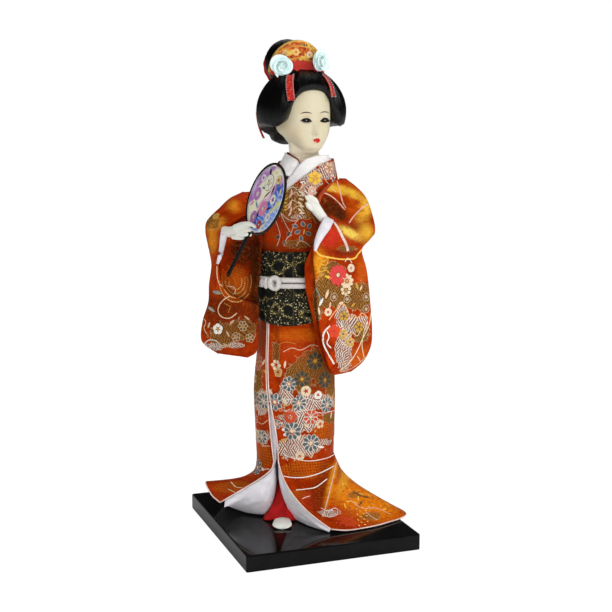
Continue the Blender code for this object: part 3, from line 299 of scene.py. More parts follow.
# Satin with woven clouds, hatched bands and net; where each lies comes with the cloth, as do tints of painted shade
# and painted highlights
def brocadeMaterial(name, deep, bright, sheen):
    made, tree, shader = material(name, {"Roughness": 0.36, "Metallic": 0.35, "Specular IOR Level": 0.08,
        "Sheen Weight": 0.03, "Sheen Roughness": 0.4})
    shader.inputs["Specular Tint"].default_value = 1.0, 0.62, 0.2, 1
    shader.inputs["Sheen Tint"].default_value = *sheen, 1
    place = clothCoordinates(tree)
    regions = node(tree, "SeparateColor", {0: outOf(node(tree, "Attribute", attribute_name="regions"))})
    tintAndPaintedLight = node(tree, "Attribute", attribute_name="tintAndPaintedLight")
    coarse = (noiseValue(place, 0.3, 2.0) - 0.5) * 0.6
    lobes = outOf(node(tree, "TexVoronoi", {"Vector": place, "Scale": 0.42}, feature="SMOOTH_F1"), "Distance")
    ragged = coarse + (0.45 - lobes) * 0.5
    fields = [outOf(regions, i) + ragged for i in range(3)]
    masks = [step(field, 0.48, 0.52) for field in fields]
    outlines = []
    for field in fields[:2]:
        away = calc("ABSOLUTE", field - 0.5)
        outlines.append(1.0 - step(away, 0.015, 0.04))
    outline = calc("MAXIMUM", *outlines)
    hatching = outOf(useGroup(hatch, place, 1.5))
    fineHatch = outOf(useGroup(hatch, place, 1.6))
    net = outOf(useGroup(fret, place, 2.4))
    tone = noiseValue(place, 0.07, 3.0)
    base = mix(step(tone, 0.3, 0.7), deep, bright)
    # lighter streaks along the slubs: slub yarn with painted sheen; the slubs also vary the roughness
    slubAndSheen = noiseValue(stretched(place, 0.35, 6.0), 1.0, 2.0)
    base = mix(step(slubAndSheen, 0.5, 0.8) * 0.35, base, (0.8, 0.12, 0.004))
    base = mix(masks[2] * 0.4, base, (0.36, 0.035, 0.003))
    base = mix(net * (masks[2] * 0.75), base, (0.74, 0.23, 0.015))
    folds = noiseValue(stretched(place, 0.16, 0.45, 1.0, -0.5), 1.0, 5.0, 0.7, 1.2)
    # tints from the cloth: painted shade and painted highlights, with some patches of real colour, stronger on fold
    # crests
    tintAndLightAmount = calc("MULTIPLY", outOf(tintAndPaintedLight, "Alpha"), 0.55 + step(folds, 0.36, 0.56), clamp=True)
    base = mix(tintAndLightAmount, base, outOf(tintAndPaintedLight, "Color"))
    # painted highlights along the fold crests, stronger where the tints lie
    lit = step(folds, 0.56, 0.72) * (0.18 + outOf(tintAndPaintedLight, "Alpha") * 0.5)
    base = mix(lit, base, (0.95, 0.32, 0.015))
    # painted glints: small bright flecks, stronger where the tints paint highlights
    sparkle = step(noiseValue(stretched(place, 0.7, 1.9, 1.0, 0.4), 1.0, 3.0, 0.7), 0.56, 0.66)
    gleam = 0.14 + outOf(tintAndPaintedLight, "Alpha") * 0.4
    base = mix(sparkle * gleam, base, (1.0, 0.42, 0.03))
    cloud = mix(hatching, (0.16, 0.05, 0.008), (0.42, 0.19, 0.035))
    fleck = step(noiseValue(place, 1.3, 2.0), 0.6, 0.68)
    cloud = mix(fleck * 0.8, cloud, (0.75, 0.52, 0.3))
    base = mix(masks[0], base, cloud)
    band = mix(fineHatch, mix(step(tone, 0.35, 0.6), (0.26, 0.07, 0.016), (0.42, 0.14, 0.05)), (0.88, 0.81, 0.75))
    base = mix(masks[1], base, band)
    base = mix(outline * 0.6, base, (0.84, 0.5, 0.26))
    # the tints' painted shade and highlights again, lightly, over the motifs
    base = mix(tintAndLightAmount * 0.4, base, outOf(tintAndPaintedLight, "Color"))
    threads = useGroup(weave, place, 0.55)
    relief = outOf(threads) * 0.12
    worked = masks[0] * hatching + masks[1] * fineHatch
    relief = relief + worked * 0.35
    relief = relief + outline * 0.3
    crinkle = noiseValue(stretched(place, 0.22, 0.1, 1.0, 0.5), 1.0, 4.0, 0.65, 0.6)
    pucker = noiseValue(stretched(place, 0.3, 0.9, 1.0, -0.4), 1.0, 3.0, 0.6, 1.0)
    relief = relief + crinkle * 2.2
    relief = relief + pucker * 0.9
    relief = relief + folds * 2.4
    wire(shader, {"Base Color": base, "Normal": bump(relief, 0.7, 0.0008)})
    roughness = 0.3 + masks[0] * 0.2
    wire(shader, {"Roughness": roughness + slubAndSheen * 0.14})
    return made


# Woven cloth of one colour with soft changes of tone, crinkles and its threads
def plainCloth(name, colour, shade, pitch, crinkleHeight, sockets):
    made, tree, shader = material(name, sockets)
    place = clothCoordinates(tree)
    tone = step(noiseValue(place, 0.12, 3.0), 0.3, 0.75)
    threads = useGroup(weave, place, pitch)
    base = mix(tone, shade, colour)
    base = mix(outOf(threads, 1) * 0.12, base, shade)
    crinkle = noiseValue(stretched(place, 0.3, 0.14), 1.0, 4.0, 0.6)
    relief = outOf(threads) * 0.1 + crinkle * crinkleHeight
    wire(shader, {"Base Color": base, "Normal": bump(relief, 0.5, 0.0005)})
    return made


brocade = brocadeMaterial("orange_brocade", (0.34, 0.017, 0.0015), (0.6, 0.05, 0.002), (1.0, 0.5, 0.1))
orangeSatin = plainCloth("orange_satin", (0.6, 0.08, 0.004), (0.34, 0.03, 0.003), 0.5, 1.6,
    {"Roughness": 0.4, "Metallic": 0.3})
innerBrocade = plainCloth("robe_inside", (0.26, 0.03, 0.008), (0.14, 0.012, 0.004), 0.6, 1.2, {"Roughness": 0.6})
satin = plainCloth("white_satin", (0.78, 0.765, 0.79), (0.66, 0.63, 0.68), 0.45, 1.6,
    {"Roughness": 0.42, "Sheen Weight": 0.3})
collarWhite = plainCloth("collar_white", (0.88, 0.87, 0.86), (0.76, 0.74, 0.74), 0.7, 0.8,
    {"Roughness": 0.55, "Sheen Weight": 0.2})
redCloth = plainCloth("red_cloth", (0.6, 0.008, 0.007), (0.34, 0.003, 0.004), 0.5, 2.2,
    {"Roughness": 0.5, "Specular IOR Level": 0.2})
piping = plainCloth("piping_white", (0.87, 0.73, 0.68), (0.74, 0.5, 0.42), 0.5, 0.4, {"Roughness": 0.5})
pipingRed = plainCloth("piping_red", (0.3, 0.01, 0.012), (0.16, 0.006, 0.008), 0.5, 0.4, {"Roughness": 0.5})


# Embroidery, woven motifs and paint: the colour comes with the mesh, and fibres lie across it
def threadMaterial(name, shade):
    made, tree, shader = material(name, {"Roughness": 0.45, "Specular IOR Level": 0.25})
    colour = outOf(node(tree, "Attribute", attribute_name="thread"))
    place = objectCoordinates(tree)
    fibres = noiseValue(place, 2600.0, 2.0)
    shaded = mix(1.0, colour, (shade, shade, shade), "MULTIPLY")
    base = mix(step(fibres, 0.35, 0.65), shaded, colour)
    wire(shader, {"Base Color": base, "Normal": bump(fibres, 0.5, 0.0002)})
    return made


threads = threadMaterial("motif_threads", 0.66)
facePaint = threadMaterial("face_paint", 0.9)


def lacquerMaterial(name, roughness, colour=(0.0035, 0.0035, 0.0035)):
    made, tree, shader = material(name, {"Base Color": colour, "Specular IOR Level": 0.12})
    place = objectCoordinates(tree)
    smudge = noiseValue(place, 45.0, 4.0, 0.6, 0.4)
    scratches = noiseValue(stretched(place, 900.0, 60.0, 900.0), 1.0, 2.0)
    worn = step(scratches, 0.62, 0.72) * 0.05
    value = smudge * roughness + worn
    wire(shader, {"Roughness": value, "Normal": bump(smudge, 0.08, 0.0004)})
    wire(shader, {"Base Color": mix(step(smudge, 0.4, 0.8), colour, tuple((c * 1.8 for c in colour)))})
    return made


lacquer = lacquerMaterial("black_lacquer", 0.16)
fanBlack = lacquerMaterial("fan_frame", 0.5, (0.008, 0.008, 0.008))


# Black brocade with rings, scrolls and dots of gold thread
def sashMaterial():
    made, tree, shader = material("sash_brocade", {"Roughness": 0.55, "Specular IOR Level": 0.15})
    place = clothCoordinates(tree)
    shifts = outOf(node(tree, "TexNoise", {"Vector": place, "Scale": 0.12, "Detail": 1.0}), "Color")
    warped = outOf(node(tree, "VectorMath", {0: place, 1: outOf(node(tree, "VectorMath", {0: shifts, 3: 5.0},
        operation="SCALE"))}, operation="ADD"))
    discs = outOf(node(tree, "TexVoronoi", {"Vector": warped, "Scale": 0.085, "Randomness": 0.75}), "Distance")
    ring = 1.0 - step(calc("ABSOLUTE", discs - 0.43), 0.035, 0.07)
    swirl = calc("SINE", noiseValue(place, 0.16, 2.0, 0.5, 1.2) * 46.0)
    scroll = step(swirl, 0.84, 0.96) * step(discs, 0.5, 0.6)
    dots = node(tree, "TexVoronoi", {"Vector": place, "Scale": 0.95, "Randomness": 0.6})
    dotted = 1.0 - step(outOf(dots, "Distance"), 0.22, 0.4)
    few = step(outOf(node(tree, "SeparateColor", {0: outOf(dots, "Color")})), 0.62, 0.66)
    gold = calc("MAXIMUM", ring, scroll)
    gold = calc("MULTIPLY", gold, 0.08 + dotted, clamp=True)
    bright = dotted * few * step(discs, 0.34, 0.42)
    leaves = step(noiseValue(place, 0.32, 3.0), 0.56, 0.62)
    base = mix(leaves * 0.5, (0.004, 0.005, 0.004), (0.022, 0.03, 0.016))
    base = mix(gold, base, (0.7, 0.54, 0.17))
    base = mix(bright, base, (0.86, 0.76, 0.45))
    fibres = outOf(useGroup(weave, place, 0.5))
    relief = gold * 0.8 + fibres * 0.15
    wire(shader, {"Base Color": base, "Normal": bump(relief, 0.6, 0.0004)})
    wire(shader, {"Metallic": calc("MAXIMUM", gold, bright) * 0.55})
    return made


sashCloth = sashMaterial()


def cordMaterial():
    made, tree, shader = material("white_cord", {"Roughness": 0.6, "Sheen Weight": 0.3})
    place = objectCoordinates(tree)
    fibres = noiseValue(stretched(place, 1500, 1500, 3500), 1.0, 2.0)
    base = mix(step(fibres, 0.3, 0.7), (0.48, 0.44, 0.41), (0.68, 0.65, 0.61))
    wire(shader, {"Base Color": base, "Normal": bump(fibres, 0.5, 0.0003)})
    return made


cordWhite = cordMaterial()


def skinMaterial(name, colour, warm, roughness):
    made, tree, shader = material(name, {"Roughness": roughness, "Subsurface Weight": 0.08, "Coat Weight": 0.05,
        "Coat Roughness": 0.25, "Specular IOR Level": 0.3})
    shader.inputs["Subsurface Radius"].default_value = 0.004, 0.002, 0.001
    shader.inputs["Subsurface Scale"].default_value = 0.5
    place = objectCoordinates(tree)
    # warm mask: blush on the cheeks, warmer round the eye sockets, and painted shade under the nose, on one temple
    # and under the chin
    blushAndShade = outOf(node(tree, "Attribute", attribute_name="blushAndShade"), "Fac")
    mottle = noiseValue(place, 160.0, 4.0)
    base = mix(step(mottle, 0.3, 0.8), colour, tuple((between(a, b, 0.25) for a, b in zip(colour, warm))))
    base = mix(blushAndShade, base, warm)
    # the neck painted paler: painted light in the chin's shade
    paintedNeckLight = outOf(node(tree, "Attribute", attribute_name="paintedNeckLight"), "Fac")
    base = mix(paintedNeckLight, base, (0.9, 0.8, 0.6))
    grain = noiseValue(place, 1800.0, 2.0)
    wire(shader, {"Base Color": base, "Normal": bump(grain, 0.12, 0.0002)})
    return made


skin = skinMaterial("ivory_face", (0.61, 0.565, 0.4), (0.6, 0.37, 0.19), 0.42)
handWhite = skinMaterial("white_hand", (0.7, 0.71, 0.65), (0.72, 0.62, 0.5), 0.42)


# Oiled black hair: strands follow the second coordinate of the mesh's own map
def hairMaterial():
    made, tree, shader = material("black_hair", {"Base Color": (0.003, 0.003, 0.003), "Roughness": 0.3,
        "Specular IOR Level": 0.28, "Anisotropic": 0.4})
    place = clothCoordinates(tree)
    strands = noiseValue(stretched(place, 2.2, 0.05), 1.0, 4.0, 0.7)
    locks = noiseValue(stretched(place, 0.35, 0.02), 1.0, 2.0)
    relief = strands + locks * 1.6
    base = mix(step(strands, 0.45, 0.75), (0.001, 0.001, 0.001), (0.006, 0.0055, 0.005))
    wire(shader, {"Base Color": base, "Normal": bump(relief, 0.4, 0.0004)})
    wire(shader, {"Roughness": 0.16 + strands * 0.26})
    return made


hair = hairMaterial()


# Satin ribbon with fine lengthwise lines
def ribbonMaterial(name, colour, shade):
    made, tree, shader = material(name, {"Roughness": 0.34, "Sheen Weight": 0.35})
    place = clothCoordinates(tree)
    lines = noiseValue(stretched(place, 0.1, 2.6), 1.0, 3.0)
    base = mix(step(lines, 0.3, 0.7), shade, colour)
    wire(shader, {"Base Color": base, "Normal": bump(lines, 0.4, 0.0003)})
    return made


rosePale = ribbonMaterial("pale_aqua_ribbon", (0.82, 0.95, 0.93), (0.66, 0.87, 0.86))


# Red ribbon strewn with glitter
def glitterMaterial():
    made, tree, shader = material("red_glitter", {"Roughness": 0.4})
    place = objectCoordinates(tree)
    flakes = node(tree, "TexVoronoi", {"Vector": place, "Scale": 1500.0})
    chance = node(tree, "SeparateColor", {0: outOf(flakes, "Color")})
    lit = step(outOf(chance), 0.8, 0.86)
    base = mix(outOf(chance, 1), (0.4, 0.004, 0.004), (0.74, 0.012, 0.008))
    base = mix(lit, base, (0.95, 0.24, 0.13))
    wire(shader, {"Base Color": base, "Metallic": lit * 0.7})
    wire(shader, {"Normal": bump(outOf(chance, 2), 0.9, 0.0003)})
    return made


glitter = glitterMaterial()


# Orange and gold brocade with dark spots and red below
def combMaterial():
    made, tree, shader = material("comb_brocade", {"Roughness": 0.36, "Metallic": 0.2, "Specular IOR Level": 0.7})
    place = clothCoordinates(tree)
    down = outOf(node(tree, "SeparateXYZ", {0: place}), 1)
    cells = node(tree, "TexVoronoi", {"Vector": place, "Scale": 0.55})
    chance = node(tree, "SeparateColor", {0: outOf(cells, "Color")})
    base = mix(step(outOf(chance), 0.3, 0.7), (0.62, 0.07, 0.008), (0.85, 0.26, 0.02))
    base = mix(step(outOf(chance, 1), 0.72, 0.76), base, (0.9, 0.6, 0.1))
    spot = step(outOf(chance, 2), 0.6, 0.66) * (1.0 - step(outOf(cells, "Distance"), 0.32, 0.4))
    base = mix(spot, base, (0.06, 0.02, 0.012))
    lower = step(down + noiseValue(place, 0.6) * 3.0, 12.5, 13.5)
    sparkle = step(noiseValue(place, 3.2, 1.0), 0.6, 0.66)
    red = mix(sparkle, (0.6, 0.012, 0.012), (0.95, 0.3, 0.16))
    base = mix(lower, base, red)
    relief = outOf(cells, "Distance") + outOf(useGroup(weave, place, 0.5))
    wire(shader, {"Base Color": base, "Normal": bump(relief, 0.5, 0.0003)})
    return made


combCloth = combMaterial()
goldTrim, goldTree, goldShader = material("gold_trim", {"Base Color": (0.86, 0.5, 0.1), "Metallic": 0.6,
    "Roughness": 0.35})
goldGrain = noiseValue(objectCoordinates(goldTree), 1400.0, 2.0)
wire(goldShader, {"Base Color": mix(goldGrain, (0.62, 0.28, 0.04), (0.95, 0.66, 0.18)),
    "Normal": bump(goldGrain, 0.6, 0.0003)})
silver, silverTree, silverShader = material("silver_beads", {"Metallic": 0.8, "Roughness": 0.25})
wire(silverShader, {"Base Color": mix(noiseValue(objectCoordinates(silverTree), 900.0), (0.55, 0.55, 0.58),
    (0.92, 0.9, 0.88))})


# Flowing washes of colour: water bands, mist and hills
def fanMaterial():
    made, tree, shader = material("fan_print", {"Roughness": 0.35, "Coat Weight": 0.3})
    place = clothCoordinates(tree)
    parts = node(tree, "SeparateXYZ", {0: place})
    drift = (noiseValue(place, 0.09, 2.0) - 0.5) * 22.0
    flow = outOf(parts) + outOf(parts, 1) * -0.35 + drift
    washes = node(tree, "ValToRGB", {0: flow / 44.0 + 0.5})
    stops = [(0.0, (0.72, 0.62, 0.8)), (0.16, (0.42, 0.16, 0.5)), (0.27, (0.8, 0.76, 0.55)),
        (0.44, (0.86, 0.82, 0.62)), (0.52, (0.75, 0.42, 0.6)), (0.6, (0.04, 0.09, 0.42)), (0.74, (0.09, 0.2, 0.68)),
        (0.86, (0.78, 0.68, 0.2)), (0.97, (0.2, 0.34, 0.8))]
    while len(washes.color_ramp.elements) < len(stops):
        washes.color_ramp.elements.new(1.0)
    for element, (at, colour) in zip(washes.color_ramp.elements, stops):
        element.position = at
        element.color = *colour, 1
    washes.color_ramp.interpolation = "EASE"
    ripple = calc("SINE", (outOf(parts, 1) + drift * 0.35) * 2.1)
    blue = step(ripple, 0.55, 0.9) * step(flow, 3.5, 6.0)
    base = mix(blue * 0.7, outOf(washes), (0.5, 0.66, 0.9))
    away = calc("SQRT", calc("POWER", outOf(parts), 2.0) + calc("POWER", outOf(parts, 1), 2.0))
    base = mix(step(away, 19.6, 19.9), base, (0.85, 0.84, 0.8))
    grain = noiseValue(place, 3.0, 2.0)
    wire(shader, {"Base Color": base, "Normal": bump(grain, 0.15, 0.0002)})
    return made


fanPaper = fanMaterial()
padding, paddingTree, paddingShader = material("padding", {"Roughness": 0.9})
wool = noiseValue(objectCoordinates(paddingTree), 300.0, 5.0)
wire(paddingShader, {"Base Color": mix(wool, (0.62, 0.56, 0.46), (0.84, 0.8, 0.72)),
    "Normal": bump(wool, 0.8, 0.002)})
dowelWood, woodTree, woodShader = material("dowel_wood", {"Roughness": 0.6})
grain = noiseValue(stretched(objectCoordinates(woodTree), 900.0, 900.0, 30.0), 1.0, 4.0)
wire(woodShader, {"Base Color": mix(grain, (0.4, 0.25, 0.12), (0.68, 0.5, 0.3)), "Normal": bump(grain, 0.4, 0.0004)})


# Mesh building
def newPiece(name, points, faces, looks, uvs=None, world=False):
    mesh = bpy.data.meshes.new(name)
    mesh.from_pydata([Vector(p) if world else onStand(p) for p in points], [], faces)
    mesh.shade_smooth()
    if uvs:
        layer = mesh.uv_layers.new(name="cloth")
        for loop, spot in zip(mesh.loops, layer.data):
            spot.uv = uvs[loop.vertex_index]
    for look in looks:
        mesh.materials.append(look)
    made = bpy.data.objects.new(name, mesh)
    scene.collection.objects.link(made)
    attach(made, "root")
    return made


def present(replaced):
    if replaced:
        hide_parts(*replaced)


def gridFaces(rows, columns, wrap=False, flip=False):
    faces = []
    for i in range(rows - 1):
        for j in range(columns if wrap else columns - 1):
            k = (j + 1) % columns
            face = i * columns + j, (i + 1) * columns + j, (i + 1) * columns + k, i * columns + k
            faces.append(face[::-1] if flip else face)
    return faces


# Millimetres along each row and down each column, as coordinates for the weave
def arcLengths(grid, reference):
    rows, columns = len(grid), len(grid[0])
    across = [[0.0] * columns for _ in range(rows)]
    down = [[0.0] * columns for _ in range(rows)]
    for i in range(rows):
        for j in range(1, columns):
            across[i][j] = across[i][j - 1] + (grid[i][j] - grid[i][j - 1]).length
        middle = across[i][reference]
        across[i] = [a - middle for a in across[i]]
    for j in range(columns):
        for i in range(1, rows):
            down[i][j] = down[i - 1][j] + (grid[i][j] - grid[i - 1][j]).length
    return [(across[i][j], down[i][j]) for i in range(rows) for j in range(columns)]


leastSide = 10.5
leastShare = 0.31  # and no area under 0.3 of width times length


# Width, length and area of the cut in metres, read from the laid cloth
def flatSize(grid, wrap):
    rows, columns = len(grid), len(grid[0])
    area, last = 0.0, columns if wrap else columns - 1
    for i in range(rows - 1):
        for j in range(last):
            k = (j + 1) % columns
            a, b, c, d = grid[i][j], grid[i + 1][j], grid[i + 1][k], grid[i][k]
            area += (c - a).cross(d - b).length / 2
    width = max((sum(((row[(j + 1) % columns] - row[j]).length for j in range(last))) for row in grid))
    length = max((sum(((grid[i + 1][j] - grid[i][j]).length for i in range(rows - 1))) for j in range(columns)))
    width, length = max(width, leastSide), max(length, leastSide)
    return round(width * mm, 4), round(length * mm, 4), round(area * mm * mm, 6)


def cloth(name, grid, thickness, looks, wrap=False, flip=False, replaced=(),
        reference=None):
    points = [p for row in grid for p in row]
    made = newPiece(name, points, gridFaces(len(grid), len(grid[0]), wrap, flip), looks,
        arcLengths(grid, reference or len(grid[0]) // 2))
    if thickness:
        solid = made.modifiers.new("thickness", "SOLIDIFY")
        solid.thickness = thickness * mm
        solid.offset = -1
        solid.material_offset = 1 if len(looks) > 1 else 0
        solid.material_offset_rim = 2 if len(looks) > 2 else 0
    present(replaced)
    width, length, area = flatSize(grid, wrap)
    area = min(max(area, leastShare * width * length), width * length)
    print("  cut", name, round(width * 1000), "x", round(length * 1000), "mm")
    return made


# A closed solid through rings with the same number of points
def solidOf(name, rings, looks, replaced=(), uvs=None):
    count = len(rings[0])
    points = [p for ring in rings for p in ring]
    last = (len(rings) - 1) * count
    faces = gridFaces(len(rings), count, True) + [tuple(range(count)), tuple((last + j
        for j in reversed(range(count))))]
    volume = 0.0
    for face in faces:
        for a, b in zip(face[1:], face[2:]):
            volume += Vector(points[face[0]]).dot(Vector(points[a]).cross(Vector(points[b])))
    if volume < 0:
        faces = [face[::-1] for face in faces]
    made = newPiece(name, points, faces, looks, uvs)
    present(replaced)
    return made


# Points and faces of a tube along a path, rounded off at both ends; given in the doll's frame
def tubeMesh(path, radii, count=8, flatten=1.0, through=None):
    points = []
    path = [Vector(p) for p in path]
    last = len(path) - 1
    if not hasattr(radii, "__len__"):
        radii = [radii] * len(path)
    rings = [(path[0] - (path[1] - path[0]).normalized() * radii[0] * 0.55, radii[0] * 0.6, 0)]
    rings += [(p, r, i) for i, (p, r) in enumerate(zip(path, radii))]
    rings.append((path[last] + (path[last] - path[last - 1]).normalized() * radii[last] * 0.55, radii[last] * 0.6,
        last))
    side = None
    for centre, radius, i in rings:
        along = (path[min(i + 1, last)] - path[max(i - 1, 0)]).normalized()
        reference = Vector(through) if through else side or Vector((0.3, 0.2, 1))
        side = (reference - along * reference.dot(along)).normalized()
        other = along.cross(side)
        for j in range(count):
            a = 2 * pi * j / count
            points.append(centre + side * radius * flatten * cos(a) + other * radius * sin(a))
    faces = gridFaces(len(rings), count, True, True)
    end = (len(rings) - 1) * count
    faces.append(tuple(range(count)))
    faces.append(tuple((end + j for j in reversed(range(count)))))
    return points, faces


def joined(parts):
    points, faces = [], []
    for morePoints, moreFaces in parts:
        start = len(points)
        points += morePoints
        faces += [tuple((start + i for i in face)) for face in moreFaces]
    return points, faces


def tubes(name, parts, looks, replaced=()):
    points, faces = joined(parts)
    made = newPiece(name, points, faces, looks, [(p.x, p.z) for p in points])
    present(replaced)
    return made


# Overlapping tubes melted into one skin
def fused(name, parts, voxel, looks, replaced=(), smoothing=5):
    points, faces = joined(parts)
    rawMesh = bpy.data.meshes.new("raw")
    rawMesh.from_pydata([onStand(p) for p in points], [], faces)
    raw = bpy.data.objects.new("raw", rawMesh)
    scene.collection.objects.link(raw)
    remesh = raw.modifiers.new("melt", "REMESH")
    remesh.mode = "VOXEL"
    remesh.voxel_size = voxel * mm
    smooth = raw.modifiers.new("smooth", "SMOOTH")
    smooth.iterations = smoothing
    smooth.factor = 0.5
    graph = bpy.context.evaluated_depsgraph_get()
    mesh = bpy.data.meshes.new_from_object(raw.evaluated_get(graph))
    bpy.data.objects.remove(raw)
    mesh.name = name
    mesh.shade_smooth()
    mesh.materials.clear()
    for look in looks:
        mesh.materials.append(look)
    made = bpy.data.objects.new(name, mesh)
    scene.collection.objects.link(made)
    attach(made, "root")
    present(replaced)
    return made


# Painting the cloth: fields and tints, the tints being painted shade and highlights with some real colour, given at
# pixels of the photograph, and noise round the back
def surfaceOf(made):
    mesh = made.data
    return BVHTree.FromPolygons([v.co.copy() for v in mesh.vertices], [tuple(p.vertices) for p in mesh.polygons])


# Fields are (channel, u, v, half width, half height[, turn])
# Tints are (u, v, half width, half height, turn, colour, amount): painted shade and painted highlights, with some
# patches of real colour
def paint(made, fields, tintsAndPaintedLight, behind=0.5, bothSides=False):
    mesh = made.data
    regions = mesh.attributes.new("regions", "FLOAT_COLOR", "POINT")
    tintAndPaintedLight = mesh.attributes.new("tintAndPaintedLight", "FLOAT_COLOR", "POINT")
    regionValues, tintAndLightValues = [], []
    for vertex in mesh.vertices:
        u, v = pixelOf(vertex.co)
        toCamera = (cameraPlace - vertex.co).normalized()
        towards = vertex.normal.dot(toCamera)
        facing = ease((abs(towards) + 0.02) / 0.08) if bothSides else ease((towards + 0.02) / 0.25)
        front = [0.0, 0.0, 0.0]
        for channel, cu, cv, width, height, *turn in fields:
            du, dv = u - cu, v - cv
            if abs(du) > 30 or abs(dv) > 45:
                continue
            if turn:
                du, dv = turned(du, dv, -turn[0])
            away = (du / width) ** 2 + (dv / height) ** 2
            if away < 4:
                front[channel] = max(front[channel], 1 / (1 + away * away))
        p = vertex.co * 1000
        back = [behind + 1.3 * rough(p.x / 17, p.y / 17, p.z / 15), 0.25 + 1.3
            * rough(p.x / 15 + 40, p.y / 15, p.z / 11), 0.3 + 1.3 * rough(p.x / 19, p.y / 19 + 60, p.z / 19)]
        regionValues += [between(b, f, facing) for b, f in zip(back, front)] + [1.0]
        colour, amount = Vector((0.5, 0.1, 0.01)), 0.0
        for cu, cv, width, height, turn, shade, strength in tintsAndPaintedLight:
            du, dv = turned(u - cu, v - cv, -turn)
            weight = strength * facing * exp(-((du / width) ** 2 + (dv / height) ** 2) ** 1.5)
            if weight > 0.004:
                colour = colour.lerp(Vector(shade), weight / max(weight + amount * (1 - weight), 0.0001))
                amount = weight + amount * (1 - weight)
        tintAndLightValues += [*colour, amount]
    regions.data.foreach_set("color", regionValues)
    tintAndPaintedLight.data.foreach_set("color", tintAndLightValues)


# painted shade for the deep hollow of the left sleeve
hollowShade = 0.17, 0.015, 0.006
cream, white, gold, yellow = (0.84, 0.64, 0.42), (0.88, 0.82, 0.74), (0.62, 0.34, 0.05), (0.95, 0.55, 0.05)
red, pink, teal, brown = (0.66, 0.035, 0.025), (0.84, 0.5, 0.38), (0.2, 0.36, 0.36), (0.2, 0.08, 0.015)
grey, blushAndShade, dark = (0.33, 0.31, 0.25), (0.8, 0.25, 0.15), (0.05, 0.012, 0.006)
orange = 0.7, 0.13, 0.006
slate, ember, olive = (0.09, 0.12, 0.125), (0.62, 0.07, 0.015), (0.05, 0.055, 0.04)


